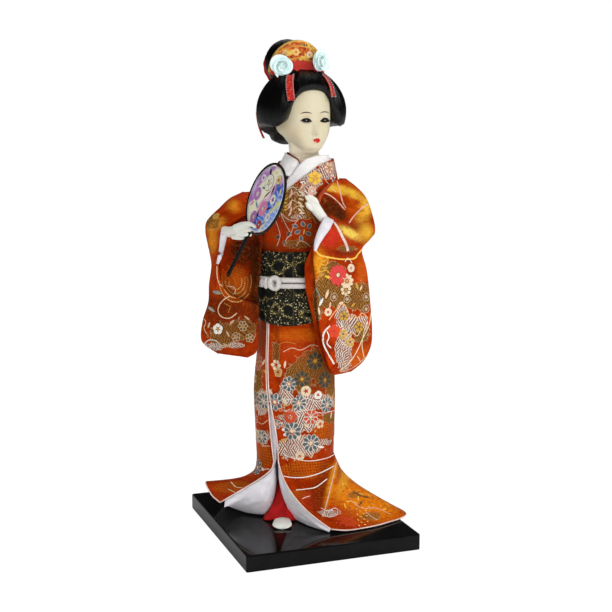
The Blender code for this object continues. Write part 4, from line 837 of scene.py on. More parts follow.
# Flat woven motifs laid on a surface: each shape is thrown on it along a line of sight
class Embroidery:

    def __init__(self, surface, thickness=0.0):
        self.surface, self.thickness, self.side = surface, thickness, 1
        self.points, self.faces, self.colours = [], [], []

    def lay(self, point, lift):
        spot, normal, _, _ = self.surface.find_nearest(point)
        return spot + normal * (lift if self.side > 0 else -lift - self.thickness) * mm

    # A patch round a centre, its outline given in millimetres
    def polygon(self, centre, right, up, outline, lift, colour):
        start = len(self.points)
        self.points.append(self.lay(centre + (right * sum((a for a, _ in outline))
            + up * sum((b for _, b in outline))) * mm / len(outline), lift))
        for a, b in outline:
            self.points.append(self.lay(centre + (right * a + up * b) * mm, lift))
        count = len(outline)
        for j in range(count):
            self.faces.append((start, start + 1 + j, start + 1 + (j + 1) % count))
        self.colours += [colour] * (count + 1)

    def at(self, u, v):
        origin, way = pixelRay(u, v)
        return self.fromRay(origin, way, cameraRight)

    def fromRay(self, origin, way, sideways):
        spot, normal, _, _ = self.surface.ray_cast(origin, way)
        if spot is None:
            return None
        self.side = -1 if normal.dot(way) > 0 else 1
        normal = normal * self.side
        right = (sideways - normal * sideways.dot(normal)).normalized()
        return spot, right, normal.cross(right)

    def petal(self, place, angle, start, length, width, lift, colour, blunt=0.5):
        spot, right, up = place
        outline = []
        for t in (0, 0.15, 0.4, 0.65, 0.88, 1.0, 0.88, 0.65, 0.4, 0.15):
            side = 1 if len(outline) < 5 else -1
            half = width / 2 * sin(pi * t ** (0.9 + blunt)) ** 0.7 if 0 < t < 1 else 0.0
            a, b = start + length * t, side * half
            outline.append(turned(a, b, angle))
        self.polygon(spot, right, up, outline, lift, colour)

    def flower(self, place, radius, petals, fill, edge, centre, turn=90.0, width=0.9, inner=0.22):
        if place is None:
            return
        for k in range(petals):
            angle = turn + 360 * k / petals
            wide = 2 * radius * sin(pi / petals) * width * 1.15
            edging = min(0.26, wide * 0.16) if edge else 0.0
            if edge:
                self.petal(place, angle, radius * inner, radius * (1 - inner), wide, 0.09, edge)
            self.petal(place, angle, radius * inner + edging, radius * (1 - inner) - 2 * edging, wide - 2 * edging,
                0.14, fill)
        spot, right, up = place
        ring = [(radius * 0.2 * cos(pi * j / 4), radius * 0.2 * sin(pi * j / 4)) for j in range(8)]
        self.polygon(spot, right, up, ring, 0.19, centre)

    def leaf(self, place, length, width, angle, fill, edge=None):
        if place is None:
            return
        if edge:
            self.petal(place, angle, -length * 0.55, length * 1.1, width * 1.35, 0.06, edge, 0.1)
        self.petal(place, angle, -length / 2, length, width, 0.1, fill, 0.1)

    def flowers(self, rows):
        for u, v, *style in rows:
            self.flower(self.at(u, v), *style)

    def leaves(self, rows):
        for u, v, *style in rows:
            self.leaf(self.at(u, v), *style)

    def strokes(self, rows):
        for row in rows:
            self.stroke(*row)

    # A line of thread through pixels of the photograph
    def stroke(self, pixels, width, colour, lift=0.1, taper=False):
        length = sum((sqrt((b[0] - a[0]) ** 2 + (b[1] - a[1]) ** 2) for a, b in zip(pixels, pixels[1:])))
        count = max(int(length / 1.2), 4)
        line = []
        for t in fractions(count):
            p = curveThrough([(*q, 0) for q in pixels], t)
            origin, way = pixelRay(p.x, p.y)
            spot, normal, _, _ = self.surface.ray_cast(origin, way)
            if spot is not None:
                side = -1 if normal.dot(way) > 0 else 1
                line.append((spot, normal * side, t, side))
        self.ribbon(line, width, colour, lift, taper)

    def ribbon(self, line, width, colour, lift, taper):
        start = None
        for i, (spot, normal, t, facing) in enumerate(line):
            self.side = facing
            ahead, before = line[min(i + 1, len(line) - 1)][0], line[max(i - 1, 0)][0]
            if i and (spot - line[i - 1][0]).length > 0.004:
                start = None
            across = (ahead - before).cross(normal)
            if across.length < 1e-09:
                continue
            across = across.normalized() * width / 2 * mm * (sin(pi * min(max(t, 0.04), 0.96)) ** 0.6 if taper else 1)
            base = len(self.points)
            for side, up in ((-1, lift * 0.3), (0, lift * 1.6), (1, lift * 0.3)):
                self.points.append(self.lay(spot + across * side, up))
            self.colours += [colour] * 3
            if start is not None:
                for k in (0, 1):
                    self.faces.append((start + k, base + k, base + k + 1, start + k + 1))
            start = base

    def finish(self, name, look=None):
        mesh = bpy.data.meshes.new(name)
        mesh.from_pydata(self.points, [], self.faces)
        mesh.shade_smooth()
        thread = mesh.attributes.new("thread", "FLOAT_COLOR", "POINT")
        thread.data.foreach_set("color", [x for c in self.colours for x in (*c, 1.0)])
        mesh.materials.append(look or threads)
        made = bpy.data.objects.new(name, mesh)
        scene.collection.objects.link(made)
        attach(made, "root")
        return made


# Motifs of the same kinds round the sides and back, at (azimuth, height) in degrees and millimetres
def scatter(work, places, sizes, centreX=0.0, centreY=8.0, backOnly=False):
    kinds = [(9, slate, white, cream), (8, ember, cream, gold), (6, cream, None, ember), (8, olive, gold, cream),
        (7, slate, cream, ember)]
    for i, (azimuth, height) in enumerate(places):
        a = radians(azimuth)
        way = Vector((-sin(a), cos(a), 0))
        origin = Vector((centreX * mm, centreY * mm, height * mm)) - way * 0.2
        place = work.fromRay(origin, way, Vector((cos(a), sin(a), 0)))
        if backOnly and (place is None or place[1].cross(place[2]).dot(cameraBack) > -0.1):
            continue
        petals, fill, edge, centre = kinds[i % len(kinds)]
        work.flower(place, sizes * (1.0 + 0.3 * (i % 3)), petals, fill, edge, centre, 20 + 37 * i, 0.62, 0.26)
        if place:
            spot, right, up = place
            for k in (-1, 1):
                moved = spot + (right * 6.5 * k + up * (3.0 * k - 2)) * mm, right, up
                work.leaf(moved, 5.0, 1.8, 30 + 50 * k + 20 * i, cream if k > 0 else gold)


# Base, dowel and padded core keep their solids
print("stage: base")
for name, look in (("base_plinth", lacquer), ("stand_dowel", dowelWood)):
    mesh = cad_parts[name].data
    mesh.materials.clear()
    mesh.materials.append(look)


# The dressed body's own shape
def bodySection(z):
    stations = [(30, -0.5, 0.0, 23.6, 20.0), (56, -0.6, 0.0, 24.8, 20.3), (90, -0.95, 0.0, 25.6, 20.5),
        (117, -0.5, 0.0, 23.6, 19.3), (134, -0.9, 0.0, 22.0, 18.5), (178, -0.9, 0.0, 22.0, 18.5),
        (195, 0.0, 0.0, 23.4, 18.2), (210, 1.2, 0.2, 24.6, 17.6), (220, 3.6, 0.6, 22.4, 17.0),
        (228, 6.0, 1.6, 18.6, 16.2), (236, 6.8, 2.6, 16.2, 15.2)]
    return smoothStation(stations, z)


def bodyPoint(phi, z, offset=0.0):
    cx, cy, halfWidth, halfDepth = bodySection(z)
    return Vector((cx + (halfWidth + offset) * sin(phi), cy - (halfDepth + offset) * cos(phi), z))


print("stage: skirt")

skirtPlan = {
    "slit": [(44, -28.0, 2.6), (50, -29.2, 3.6), (61, -31.0, 4.4), (72, -33.5, 3.6), (85, -37.2, 1.9),
        (96, -41.0, 1.6), (117, -46.5, 1.5), (150, -47.5, 1.5)],
    "hem": [(0.0, 22.0, -45.4, 12.9), (0.06, 31.0, -43.8, 11.8), (0.13, 42.0, -39.0, 11.6), (0.2, 55.0, -30.5, 11.6),
        (0.27, 69.5, -14.5, 11.6), (0.33, 62.0, 4.0, 11.5), (0.42, 44.0, 26.0, 11.5), (0.52, 20.0, 42.0, 11.5),
        (0.62, -6.0, 46.0, 11.5), (0.72, -30.0, 40.0, 12.5), (0.82, -47.0, 26.0, 17.5), (0.9, -58.0, 5.0, 27.0),
        (0.95, -53.5, -9.0, 23.0), (1.0, -47.4, -20.0, 21.5)],
    "hemBend": [(0.0, -7.0, -31.0, 27.0, 1.0), (0.06, 1.0, -32.0, 26.0, 1.0), (0.13, 10.0, -31.0, 24.0, 1.1),
        (0.2, 22.0, -22.0, 25.0, 1.5), (0.27, 29.5, -5.0, 31.0, 2.0), (0.33, 29.0, 4.0, 29.0, 1.6),
        (0.42, 26.0, 14.0, 22.0, 1.0), (0.52, 12.0, 23.0, 18.0, 1.0), (0.62, -4.0, 24.0, 18.0, 1.0),
        (0.72, -18.0, 20.0, 22.0, 1.2), (0.82, -24.5, 9.0, 29.5, 2.0), (0.9, -24.0, -5.0, 33.0, 2.6),
        (0.95, -19.5, -14.5, 36.0, 2.6), (1.0, -13.8, -20.0, 41.6, 2.6)],
    "fields": [(0, 320, 366, 24, 17), (0, 300, 376, 14, 14), (0, 336, 386, 12, 12), (0, 256, 376, 6, 22),
        (0, 276, 352, 4, 10), (0, 372, 516, 9, 4), (0, 356, 495, 8, 3.5), (0, 330, 418, 7, 5), (1, 314, 402, 22, 7.5),
        (1, 300, 420, 20, 13), (1, 303, 446, 19, 12), (1, 288, 448, 10, 10), (1, 286, 394, 7, 12),
        (1, 322, 442, 9, 3.5), (1, 262, 402, 7, 13), (1, 262, 437, 7, 7), (1, 330, 513, 11, 3.5),
        (2, 310, 470, 34, 9), (2, 326, 428, 16, 12), (2, 263, 457, 9, 12), (2, 245, 420, 8, 20), (2, 350, 470, 16, 8),
        (2, 236, 487, 22, 6), (2, 300, 497, 14, 7)],
    # tints: painted shade under the sash, at the left side and beside the pleat; painted highlights on the lobe and
    # along the pleat's crest
    "tintsAndPaintedLight": [(311, 500, 12, 9, 0, (0.5, 0.03, 0.008), 0.8), (365, 500, 34, 16, 20, (0.95, 0.25, 0.006), 0.95),
        (352, 521, 14, 4, 10, (0.8, 0.1, 0.01), 0.3), (300, 350, 24, 14, 0, (0.55, 0.045, 0.006), 0.7),
        (300, 335, 30, 6, 0, orange, 0.7), (318, 380, 26, 14, 0, (0.25, 0.04, 0.008), 0.6),
        (320, 490, 8, 24, 14, (0.22, 0.016, 0.003), 0.85), (331, 484, 3, 24, 14, (0.95, 0.36, 0.02), 0.85),
        (262, 350, 8, 26, 0, (0.42, 0.05, 0.01), 0.6), (345, 478, 5, 18, 20, (0.95, 0.42, 0.03), 0.8)],
    "leftFoot": [(1.0, -10.4, -16.4, 46.0), (1.15, -9.6, -20.6, 34.0), (1.3, -6.2, -21.0, 22.0),
        (1.44, -1.6, -20.6, floorHeight + 1.0), (1.58, 1.5, -24.0, floorHeight), (1.72, 7.5, -32.5, floorHeight),
        (1.86, 15.0, -39.6, floorHeight), (2.0, 20.6, -43.6, floorHeight)],
    "rightFoot": [(1.0, -13.2, -15.8, 46.0), (1.15, -12.2, -17.0, 33.0), (1.3, -14.6, -15.6, 20.0),
        (1.44, -19.4, -14.0, floorHeight), (1.58, -24.0, -13.8, floorHeight), (1.72, -30.0, -11.5, floorHeight),
        (1.86, -37.5, -9.0, floorHeight + 1.5), (2.0, -45.8, -18.4, 19.9)],
    "flowers": ((289, 384, 5.0, 8, slate, white, cream, 0.62), (299, 403, 5.0, 9, slate, white, cream, 0.6),
        (327, 405, 5.4, 9, slate, white, cream, 0.6), (311, 443, 6.0, 9, slate, white, cream, 0.6),
        (292, 431, 6.2, 9, slate, white, cream, 0.6), (264, 401, 5.4, 9, slate, white, cream, 0.6),
        (262, 437, 4.6, 8, slate, white, cream, 0.6), (290, 417, 4.4, 8, ember, None, orange, 0.85),
        (311, 417, 5.2, 8, ember, white, cream, 0.62), (338, 419, 4.0, 7, ember, cream, gold, 0.62),
        (315, 361, 6.0, 8, olive, (0.3, 0.15, 0.04), gold, 0.62),
        (302, 379, 5.4, 8, olive, (0.3, 0.15, 0.04), gold, 0.62),
        (325, 380, 5.6, 8, olive, (0.3, 0.15, 0.04), gold, 0.62),
        (338, 396, 4.4, 8, slate, (0.5, 0.4, 0.3), gold, 0.62), (306, 391, 3.4, 5, cream, None, red, 0.8),
        (278, 372, 3.4, 5, gold, cream, red, 0.7), (281, 407, 3.0, 5, ember, cream, cream, 0.7),
        (277, 424, 3.2, 6, slate, white, cream, 0.6), (300, 456, 3.0, 5, cream, None, ember, 0.7),
        (256, 418, 3.4, 6, ember, cream, cream, 0.7), (320, 424, 3.0, 5, cream, None, ember, 0.6),
        (255, 378, 3.4, 6, gold, cream, red, 0.62), (341, 440, 3.4, 6, gold, None, cream, 0.5),
        (318, 395, 2.8, 5, white, None, ember, 0.8)),
    "leaves": ((275, 398, 5, 1.7, 60, teal), (300, 394, 5, 1.7, 130, grey), (285, 405, 5, 1.6, 20, gold),
        (307, 426, 5, 1.6, 150, cream), (333, 395, 5, 1.8, 40, gold), (299, 438, 4, 1.5, 100, cream),
        (271, 392, 4, 1.5, 120, cream), (318, 399, 4, 1.5, 10, brown), (331, 415, 5, 1.6, 70, cream),
        (284, 440, 5, 1.6, 30, gold), (321, 447, 5, 1.6, 165, white), (259, 413, 4, 1.4, 80, cream),
        (366, 497, 6, 1.6, 20, brown), (357, 494, 6, 1.6, 160, brown), (361, 503, 5, 1.4, 60, brown)),
    "strokes": (([(279, 475), (292, 477.5), (306, 477), (320, 473), (334, 466)], 0.6, white),
        ([(296, 490), (306, 489), (316, 487), (327, 479)], 0.6, white),
        ([(302, 499), (306, 497), (310, 496)], 0.6, pink), ([(284, 455), (296, 459), (310, 461), (327, 458),
        (338, 452)], 0.5, white), ([(336.5, 462), (333, 478), (328, 498), (323, 517)], 0.6, pink),
        ([(338, 458), (341, 464), (341, 474), (337, 486)], 0.4, (0.5, 0.12, 0.02)),
        ([(321, 508), (328, 511), (335, 508), (341, 512)], 0.4, white),
        ([(322, 514), (330, 517), (338, 514)], 0.4, white), ([(341, 517), (352, 520), (361, 526)], 0.5, red),
        ([(345, 523), (353, 526), (360, 530)], 0.5, red), ([(366, 512), (372, 517), (378, 520)], 0.5, cream),
        ([(231, 482), (236, 487), (243, 488), (249, 491)], 0.5, cream),
        ([(228, 489), (238, 493), (247, 489)], 0.4, cream), ([(262, 446), (268, 446), (275, 447)], 0.5, pink),
        ([(262, 470), (268, 469), (274, 471)], 0.5, white), ([(258, 398), (262, 392), (268, 395), (272, 389)], 0.4,
        cream), ([(256, 420), (262, 424), (269, 420), (274, 425)], 0.4, cream),
        ([(283, 352), (292, 348), (301, 350), (312, 345), (322, 348)], 0.4, cream),
        ([(285, 400), (295, 399), (305, 398), (318, 401), (332, 398)], 0.4, white),
        ([(284, 411), (296, 412), (308, 410), (322, 413), (336, 410)], 0.4, white),
        ([(278, 345), (286, 342), (296, 344)], 0.3, gold), ([(345, 452), (352, 458), (356, 468), (364, 474)], 0.5,
        cream), ([(352, 470), (362, 482), (374, 489), (386, 497)], 0.5, cream),
        ([(340, 366), (345, 374), (343, 384)], 0.4, cream), ([(350, 500), (362, 508), (376, 508), (390, 514)], 0.5,
        pink)),
}


def columnPoint(way, z):
    slitAngle, slitWidth = smoothStation(skirtPlan["slit"], z)
    start = radians(slitAngle)
    opening = slitWidth / 2 / bodySection(z)[2]
    fold = 1.3 * hump(way, 0.035, 0.014) + 0.5 * hump(way, 0.12, 0.03)
    ripple = 0.35 * rough(way * 22, z / 46, 3.0) + 0.16 * rough(way * 50, z / 16, 7.0)
    crease = 0.5 * hump(z - 128 + 55 * (way - 0.08), 0, 2.6) * hump(way, 0.1, 0.07)
    edge = ease(min(way, 1 - way) / 0.02)
    return bodyPoint(start + opening + (2 * pi - 2 * opening) * way, z, -fold + (ripple - crease) * edge)


# On the skirt's outer face: way round from 0 to 1, down from 0 at the top to 2 at the hem
def skirtPoint(way, down, wrinkled=True):
    if down <= 1:
        return columnPoint(way, between(150.0, 48.0, down))
    t = down - 1
    knee = columnPoint(way, 48.0)
    cornerX, cornerY, cornerZ, tight = smoothStation(skirtPlan["hemBend"], way)
    hemX, hemY, hemZ = smoothStation(skirtPlan["hem"], way)
    first, middle, last = (1 - t) ** 2, 2 * tight * t * (1 - t), t ** 2
    total = first + middle + last
    point = (knee * first + Vector((cornerX, cornerY, cornerZ)) * middle + Vector((hemX, hemY, hemZ)) * last) / total
    ridge = 0.275 - 0.265 * t
    pleat = 4.0 * hump(way, ridge, 0.022 if way < ridge else 0.05) * sin(pi * min(t * 1.05, 1)) ** 0.6
    outwards = Vector((point.x, point.y, 0)).normalized()
    point += outwards * pleat
    if wrinkled:
        soft = sin(pi * min(t, 0.97)) * ease(min(way, 1 - way) / 0.03)
        point.z += soft * (0.9 * rough(way * 26, t * 1.3, 1.0) + 0.35 * rough(way * 60, t * 3, 5.0))
    point.z = max(point.z, 11.4)
    return point


def skirtNormal(way, down):
    low, high = max(way - 0.004, 0), min(way + 0.004, 1)
    alongWay = skirtPoint(high, down, False) - skirtPoint(low, down, False)
    alongDown = skirtPoint(way, min(down + 0.02, 2), False) - skirtPoint(way, max(down - 0.02, 0), False)
    return alongDown.cross(alongWay).normalized()


skirtDowns = [i / 62 for i in range(62)] + [1 + i / 58 for i in range(59)]
skirtGrid = [[skirtPoint(j / 300, down) for j in range(301)] for down in skirtDowns]
skirt = cloth("skirt", skirtGrid, clothThickness, (brocade, satin, piping), replaced=["robe_skirt"],
    reference=36)
paint(skirt, skirtPlan["fields"], skirtPlan["tintsAndPaintedLight"], 0.42)
skirtSurface = surfaceOf(skirt)


# Lining of the wings and train, and the strip behind the slit
def facingPoint(edgeWay, footLine, down, across, belly, seed):
    edge = skirtPoint(edgeWay, down, False) - skirtNormal(edgeWay, down) * under
    point = edge.lerp(Vector(smoothStation(footLine, down)), across)
    fullness = belly * sin(pi * across) * ease((down - 1) / 0.4)
    soft = sin(pi * across) * ease((down - 1) / 0.3)
    fullness += soft * (0.9 * rough(across * 3, down * 7, seed) + 0.35 * rough(across * 7, down * 18, seed))
    point += Vector((0, -fullness, -0.3 * fullness))
    point.z = max(point.z, floorHeight)
    return point


def stripPoint(down, across):
    z = between(150.0, 48.0, down)
    slitAngle, slitWidth = smoothStation(skirtPlan["slit"], z)
    far = between(slitWidth / 2 + 2.0, -0.4, ease((down - 0.78) / 0.22))
    return bodyPoint(radians(slitAngle) + between(-slitWidth / 2 - 1.0, far, across) / bodySection(z)[2], z, -under)


across = fractions(24)
spreadDowns = [1 + i / 50 for i in range(1, 51)]
leftGrid = [[facingPoint(0.0, skirtPlan["leftFoot"], min(down, 1.99), c, 1.2, 2.0) for c in across]
    for down in spreadDowns]
cloth("lining_left", leftGrid, lining, (satin,), replaced=["facing_left"])
rightGrid = [[stripPoint(down, c) for c in across] for down in [0.1 + 0.9 * i / 40 for i in range(1, 41)]]
rightGrid += [[facingPoint(0.994, skirtPlan["rightFoot"], min(down, 1.98), c, 4.2, 9.0) for c in across]
    for down in spreadDowns]
cloth("lining_right", rightGrid, lining, (satin,), replaced=["facing_right"])


def underskirtPoint(t, a):
    stations = [(10.6, -9.6, -7.4, 14.6, 22.4), (13.5, -9.0, -6.4, 11.6, 20.4), (18, -8.2, -5.4, 9.2, 17.0),
        (24, -7.0, -4.5, 8.4, 15.0), (32, -5.0, -3.0, 8.5, 12.5), (60.6, -1.0, 0.5, 9.0, 10.5)]
    foot = 10.9 + 3.4 * hump(sin(a / 2), 0, 0.22)
    z = between(60.6, foot, t)
    cx, cy, halfWidth, halfDepth = smoothStation(stations, z)
    cx = between(cx, -1.0, ease((1 - cos(a)) / 2))
    pucker = t * (0.4 * sin(9 * a + 3 * t) + 0.5 * rough(cos(a) * 3, sin(a) * 3, t * 4))
    return Vector((cx + (halfWidth + pucker) * sin(a), cy - (halfDepth + pucker) * cos(a), z))


underGrid = [[underskirtPoint(t, 2 * pi * j / 90) for j in range(90)] for t in fractions(40)]
cloth("underskirt_cloth", underGrid, clothThickness, (redCloth,), wrap=True, replaced=["underskirt"])

# Piping along the front edges and the hem
edgeLeft = [skirtPoint(0.0, down, False) + Vector((0, -0.25, -0.35)) for down in [0.02 + 1.97 * i / 90
    for i in range(91)]]
edgeRight = [skirtPoint(1.0, down, False) + Vector((0, -0.25, -0.3)) for down in [0.02 + 1.97 * i / 90
    for i in range(91)]]
hemFront = [skirtPoint(way, 2.0, False) + Vector((0, 0, -0.3)) for way in [i / 120 * 0.5 for i in range(121)]]
hemRest = [skirtPoint(way, 2.0, False) + Vector((0, 0, -0.3)) for way in [0.5 + i / 120 * 0.5 for i in range(121)]]
tubes("skirt_piping", [tubeMesh(edgeLeft, 0.42, 6), tubeMesh(edgeRight, 0.42, 6), tubeMesh(hemFront, 0.45, 6),
    tubeMesh(hemRest, 0.45, 6)], (piping,))

work = Embroidery(skirtSurface)
for u, v, r, petals, fill, edge, centre, wide in skirtPlan["flowers"]:
    work.flower(work.at(u, v), r, petals, fill, edge, centre, 90 + u * 7, wide, 0.26)
work.leaves(skirtPlan["leaves"])
work.strokes(skirtPlan["strokes"])
scatter(work, [(az, z) for z in (40, 62, 85, 108) for az in range(60 + z % 23, 330, 38)], 3.6, 0.0, 8.0)
scatter(work, [(az, 24) for az in range(75, 320, 30)], 3.4, 0.0, 8.0)
for k in range(60):  # red and gold flecks of the train
    u, v = 334 + 44 * (k * 0.7549 % 1), 506 + 20 * (k * 0.5698 % 1)
    work.leaf(work.at(u, v), 1.9, 0.7, 20 + 47 * k, (red, (0.5, 0.1, 0.01), (1.0, 0.6, 0.1), red)[k % 4])
for k in range(34):
    u, v = 342 + 50 * (k * 0.7549 % 1), 484 + 26 * (k * 0.5698 % 1)
    work.leaf(work.at(u, v), 4.4, 0.9, 10 + 53 * k, ((1.0, 0.55, 0.06), (0.5, 0.14, 0.012), (0.9, 0.3, 0.02))[k % 3])
work.finish("skirt_motifs")

print("stage: bodice, sash and cords")

bodicePlan = {
    "neckline": [(-180, 233.0), (-100, 232.0), (-68, 230.0), (-44, 226.0), (-32, 219.5), (-22, 214.5), (-12, 218.5),
        (-3, 222.4), (10, 226.6), (28, 230.8), (55, 232.8), (95, 233.8), (180, 233.0)],
    "fields": [(0, 296, 200, 14, 14), (0, 306, 208, 10, 12), (0, 288, 212, 10, 9), (0, 318, 212, 6, 10),
        (1, 312, 178, 11, 12), (1, 308, 191, 8, 6), (1, 328, 170, 9, 9), (0, 296, 244, 12, 4), (1, 299, 217, 7, 2.5),
        (2, 316, 240, 8, 10)],
    # tints darken the chest in two patches; by the left shoulder and just above the sash they are painted shade
    "tintsAndPaintedLight": [(284, 226, 12, 12, 0, (0.42, 0.035, 0.008), 0.8), (306, 232, 11, 10, 0, (0.5, 0.06, 0.01), 0.8),
        (322, 205, 12, 16, 0, (0.3, 0.03, 0.008), 0.5), (290, 246, 26, 4, 0, (0.3, 0.04, 0.01), 0.5)],
    "flowers": ((315, 178, 4.6, 6, yellow, gold, gold, 90, 0.62, 0.1),
        (315, 178, 2.6, 6, gold, None, yellow, 60, 0.5, 0.1), (329, 168, 4.0, 6, cream, ember, gold, 60, 0.5, 0.2),
        (333, 178, 3.0, 6, white, ember, ember, 20, 0.5, 0.2), (312, 191, 3.0, 6, pink, None, white, 30, 0.6, 0.2)),
    "strokes": (([(275, 219), (278, 227), (280, 236), (277, 246)], 0.4, pink),
        ([(280, 212), (286, 218), (293, 221), (298, 220)], 0.5, pink),
        ([(298, 220), (294, 225), (291, 233), (286, 240)], 0.4, pink),
        ([(281, 214), (285, 223), (290, 232)], 0.4, pink), ([(284, 246), (287, 238), (292, 235)], 0.4, pink),
        ([(296, 246), (300, 241), (306, 243), (311, 247)], 0.4, pink),
        ([(288, 206), (292, 200), (297, 203)], 0.4, cream), ([(290, 196), (296, 192), (300, 196), (305, 191)], 0.5,
        cream), ([(293, 209), (299, 206), (304, 211)], 0.4, cream),
        ([(287, 190), (293, 187), (298, 190), (303, 186)], 0.5, cream),
        ([(304, 184), (308, 180), (306, 172), (311, 167)], 0.5, cream),
        ([(309, 196), (313, 190), (317, 193)], 0.5, white), ([(311, 163), (318, 166), (324, 162)], 0.5, cream),
        ([(324, 178), (329, 184), (334, 182)], 0.5, pink)),
}


def linearStation(stations, value):
    for low, high in zip(stations, stations[1:]):
        if value <= high[0]:
            t = (value - low[0]) / (high[0] - low[0])
            return tuple((between(a, b, t) for a, b in zip(low[1:], high[1:])))
    return stations[-1][1:]


bodiceGrid = []
for t in fractions(70):
    row = []
    for j in range(200):
        way = -180 + 360 * j / 200
        z = between(linearStation(bodicePlan["neckline"], way)[0], 171.0, t)
        wrinkle = 0.35 * rough(way / 9, z / 14, 2.0) * ease(t / 0.1)
        overlap = 0.5 * ease((-22 + (214.5 - z) * 0.4 - way) / 3) * hump(way, -20, 60)
        row.append(bodyPoint(radians(way), z, wrinkle - overlap * ease(t / 0.1)))
    bodiceGrid.append(row)
bodice = cloth("bodice", bodiceGrid, clothThickness, (brocade, innerBrocade, brocade), wrap=True,
    replaced=["robe_bodice"])
paint(bodice, bodicePlan["fields"], bodicePlan["tintsAndPaintedLight"])
work = Embroidery(surfaceOf(bodice))
work.flowers(bodicePlan["flowers"])
for u, v, angle in ((303, 224, 120), (309.5, 226, 60), (297.5, 232, 200), (308.5, 233.5, 330), (301, 238.5, 270),
        (295, 226, 160)):
    work.leaf(work.at(u, v), 3.6, 2.0, angle, slate, (0.6, 0.5, 0.45))
work.leaves(((304, 232, 3.6, 1.0, 80, (0.9, 0.4, 0.08)),))
for u, v, angle in ((289, 234, 60), (278, 237, 20), (285, 243, 110), (314, 243, 40)):
    work.leaf(work.at(u, v), 3.2, 2.4, angle, olive, (0.5, 0.2, 0.1))
for k in range(26):
    u, v = 284 + 21 * (k * 0.7549 % 1), 189 + 25 * (k * 0.5698 % 1)
    work.leaf(work.at(u, v), 3.6, 1.3, 137 * k, (gold, cream, (0.5, 0.2, 0.08), pink)[k % 4])
for k in range(14):
    u, v = 302 + 16 * (k * 0.7549 % 1), 182 + 14 * (k * 0.5698 % 1)
    work.leaf(work.at(u, v), 3.0, 1.0, 20 + 97 * k, (white, pink, (0.7, 0.3, 0.15))[k % 3])
work.strokes(bodicePlan["strokes"])
scatter(work, [(az, z) for z in (190, 212) for az in range(80 + z % 17, 300, 44)], 3.6)
work.finish("bodice_motifs")

sashWidth, sashDepth = 22.0 + seatGap + 2.4, 18.5 + seatGap + 2.4
bodyYaw = -14.0
cordHeight, cordRadius = 159.8, 1.7


def sashPoint(phi, z, out=0.0):
    return Vector((-0.9 + (sashWidth + out) * sin(phi), -(sashDepth + out) * cos(phi), z))


sashGrid = []
for t in fractions(60):
    row = []
    for j in range(180):
        phi = 2 * pi * j / 180
        foot = 133.0 + 17.0 * sin((phi - radians(bodyYaw)) / 2) ** 2
        z = between(178.5, foot, t)
        press = -0.5 * hump(z, cordHeight, 4.0)
        fold = -0.35 * hump((z - foot) / (178.5 - foot), 0.84, 0.02) - 0.3 * hump((z - foot) / (178.5 - foot), 0.2,
            0.02)
        rolled = -0.5 * (1 - ease(min(t, 1 - t) / 0.04))
        row.append(sashPoint(phi, z, press + fold + rolled + 0.2 * rough(phi * 5, z / 9, 4.0)))
    sashGrid.append(row)
cloth("sash_wrap", sashGrid, 2.0, (sashCloth,), wrap=True, replaced=["sash"])


# The knot at the back: a rounded drum, its cloth folded over and tucked in
def drumRings():
    profile = [(0.0, -0.5), (0.3, -0.51), (0.55, -0.5), (0.75, -0.46), (0.9, -0.38), (1.0, -0.22), (1.03, -0.05),
        (1.0, 0.1), (0.95, 0.25), (0.84, 0.38), (0.7, 0.46), (0.5, 0.5), (0.25, 0.5), (0.0, 0.48)]
    rings = []
    for i in range(41):
        t = -1 + i / 20
        swell = 0.86 + 0.14 * min((1 - abs(t)) / 0.08, 1) ** 0.5
        along = t * 15.0
        curve = 0.016 * along * along
        ring = []
        for out, up in profile:
            wrinkle = 0.25 * rough(along / 5, up * 5, 8.0) * (1 if out > 0.2 else 0)
            y = sashDepth + gap + 0.5 + out * 10.0 * swell - curve * (0.9 if out > 0 else 0.0) + wrinkle
            x, y = turned(along, y, bodyYaw)
            ring.append(Vector((-0.9 + x, y, 157.5 + up * 34.0 * swell)))
        rings.append(ring)
    return rings


drum = drumRings()
drumUvs = [((i - 20) * 0.75, j * 3.2) for i in range(41) for j in range(14)]
drumKnot = solidOf("drum_knot", drum, (sashCloth,), replaced=["sash_drum_knot"], uvs=drumUvs)


# Three strands twisted round a route
def braid(route, strandRadius, turns, spread, samples, phase=0.0):
    parts = []
    for k in range(3):
        path = []
        for i in range(samples + 1):
            t = i / samples
            centre = curveThrough(route, t)
            along = (curveThrough(route, min(t + 0.01, 1)) - curveThrough(route, max(t - 0.01, 0))).normalized()
            side = along.cross(Vector((0, 0, 1))).normalized()
            up = side.cross(along)
            a = 2 * pi * (turns * t + k / 3) + phase
            path.append(centre + side * spread * cos(a) + up * spread * sin(a))
        parts.append(tubeMesh(path, strandRadius, 6))
    return parts


for name, side in (("cord_upper", 1), ("cord_lower", -1)):
    z = cordHeight + side * (cordRadius + 0.1)
    route = [sashPoint(radians(bodyYaw + between(-132, 132, t)), z, cordRadius + 0.1) for t in fractions(30)]
    tubes(name, braid(route, 0.86, side * 36, 0.8, 430, side), (cordWhite,), replaced=["sash_" + name])

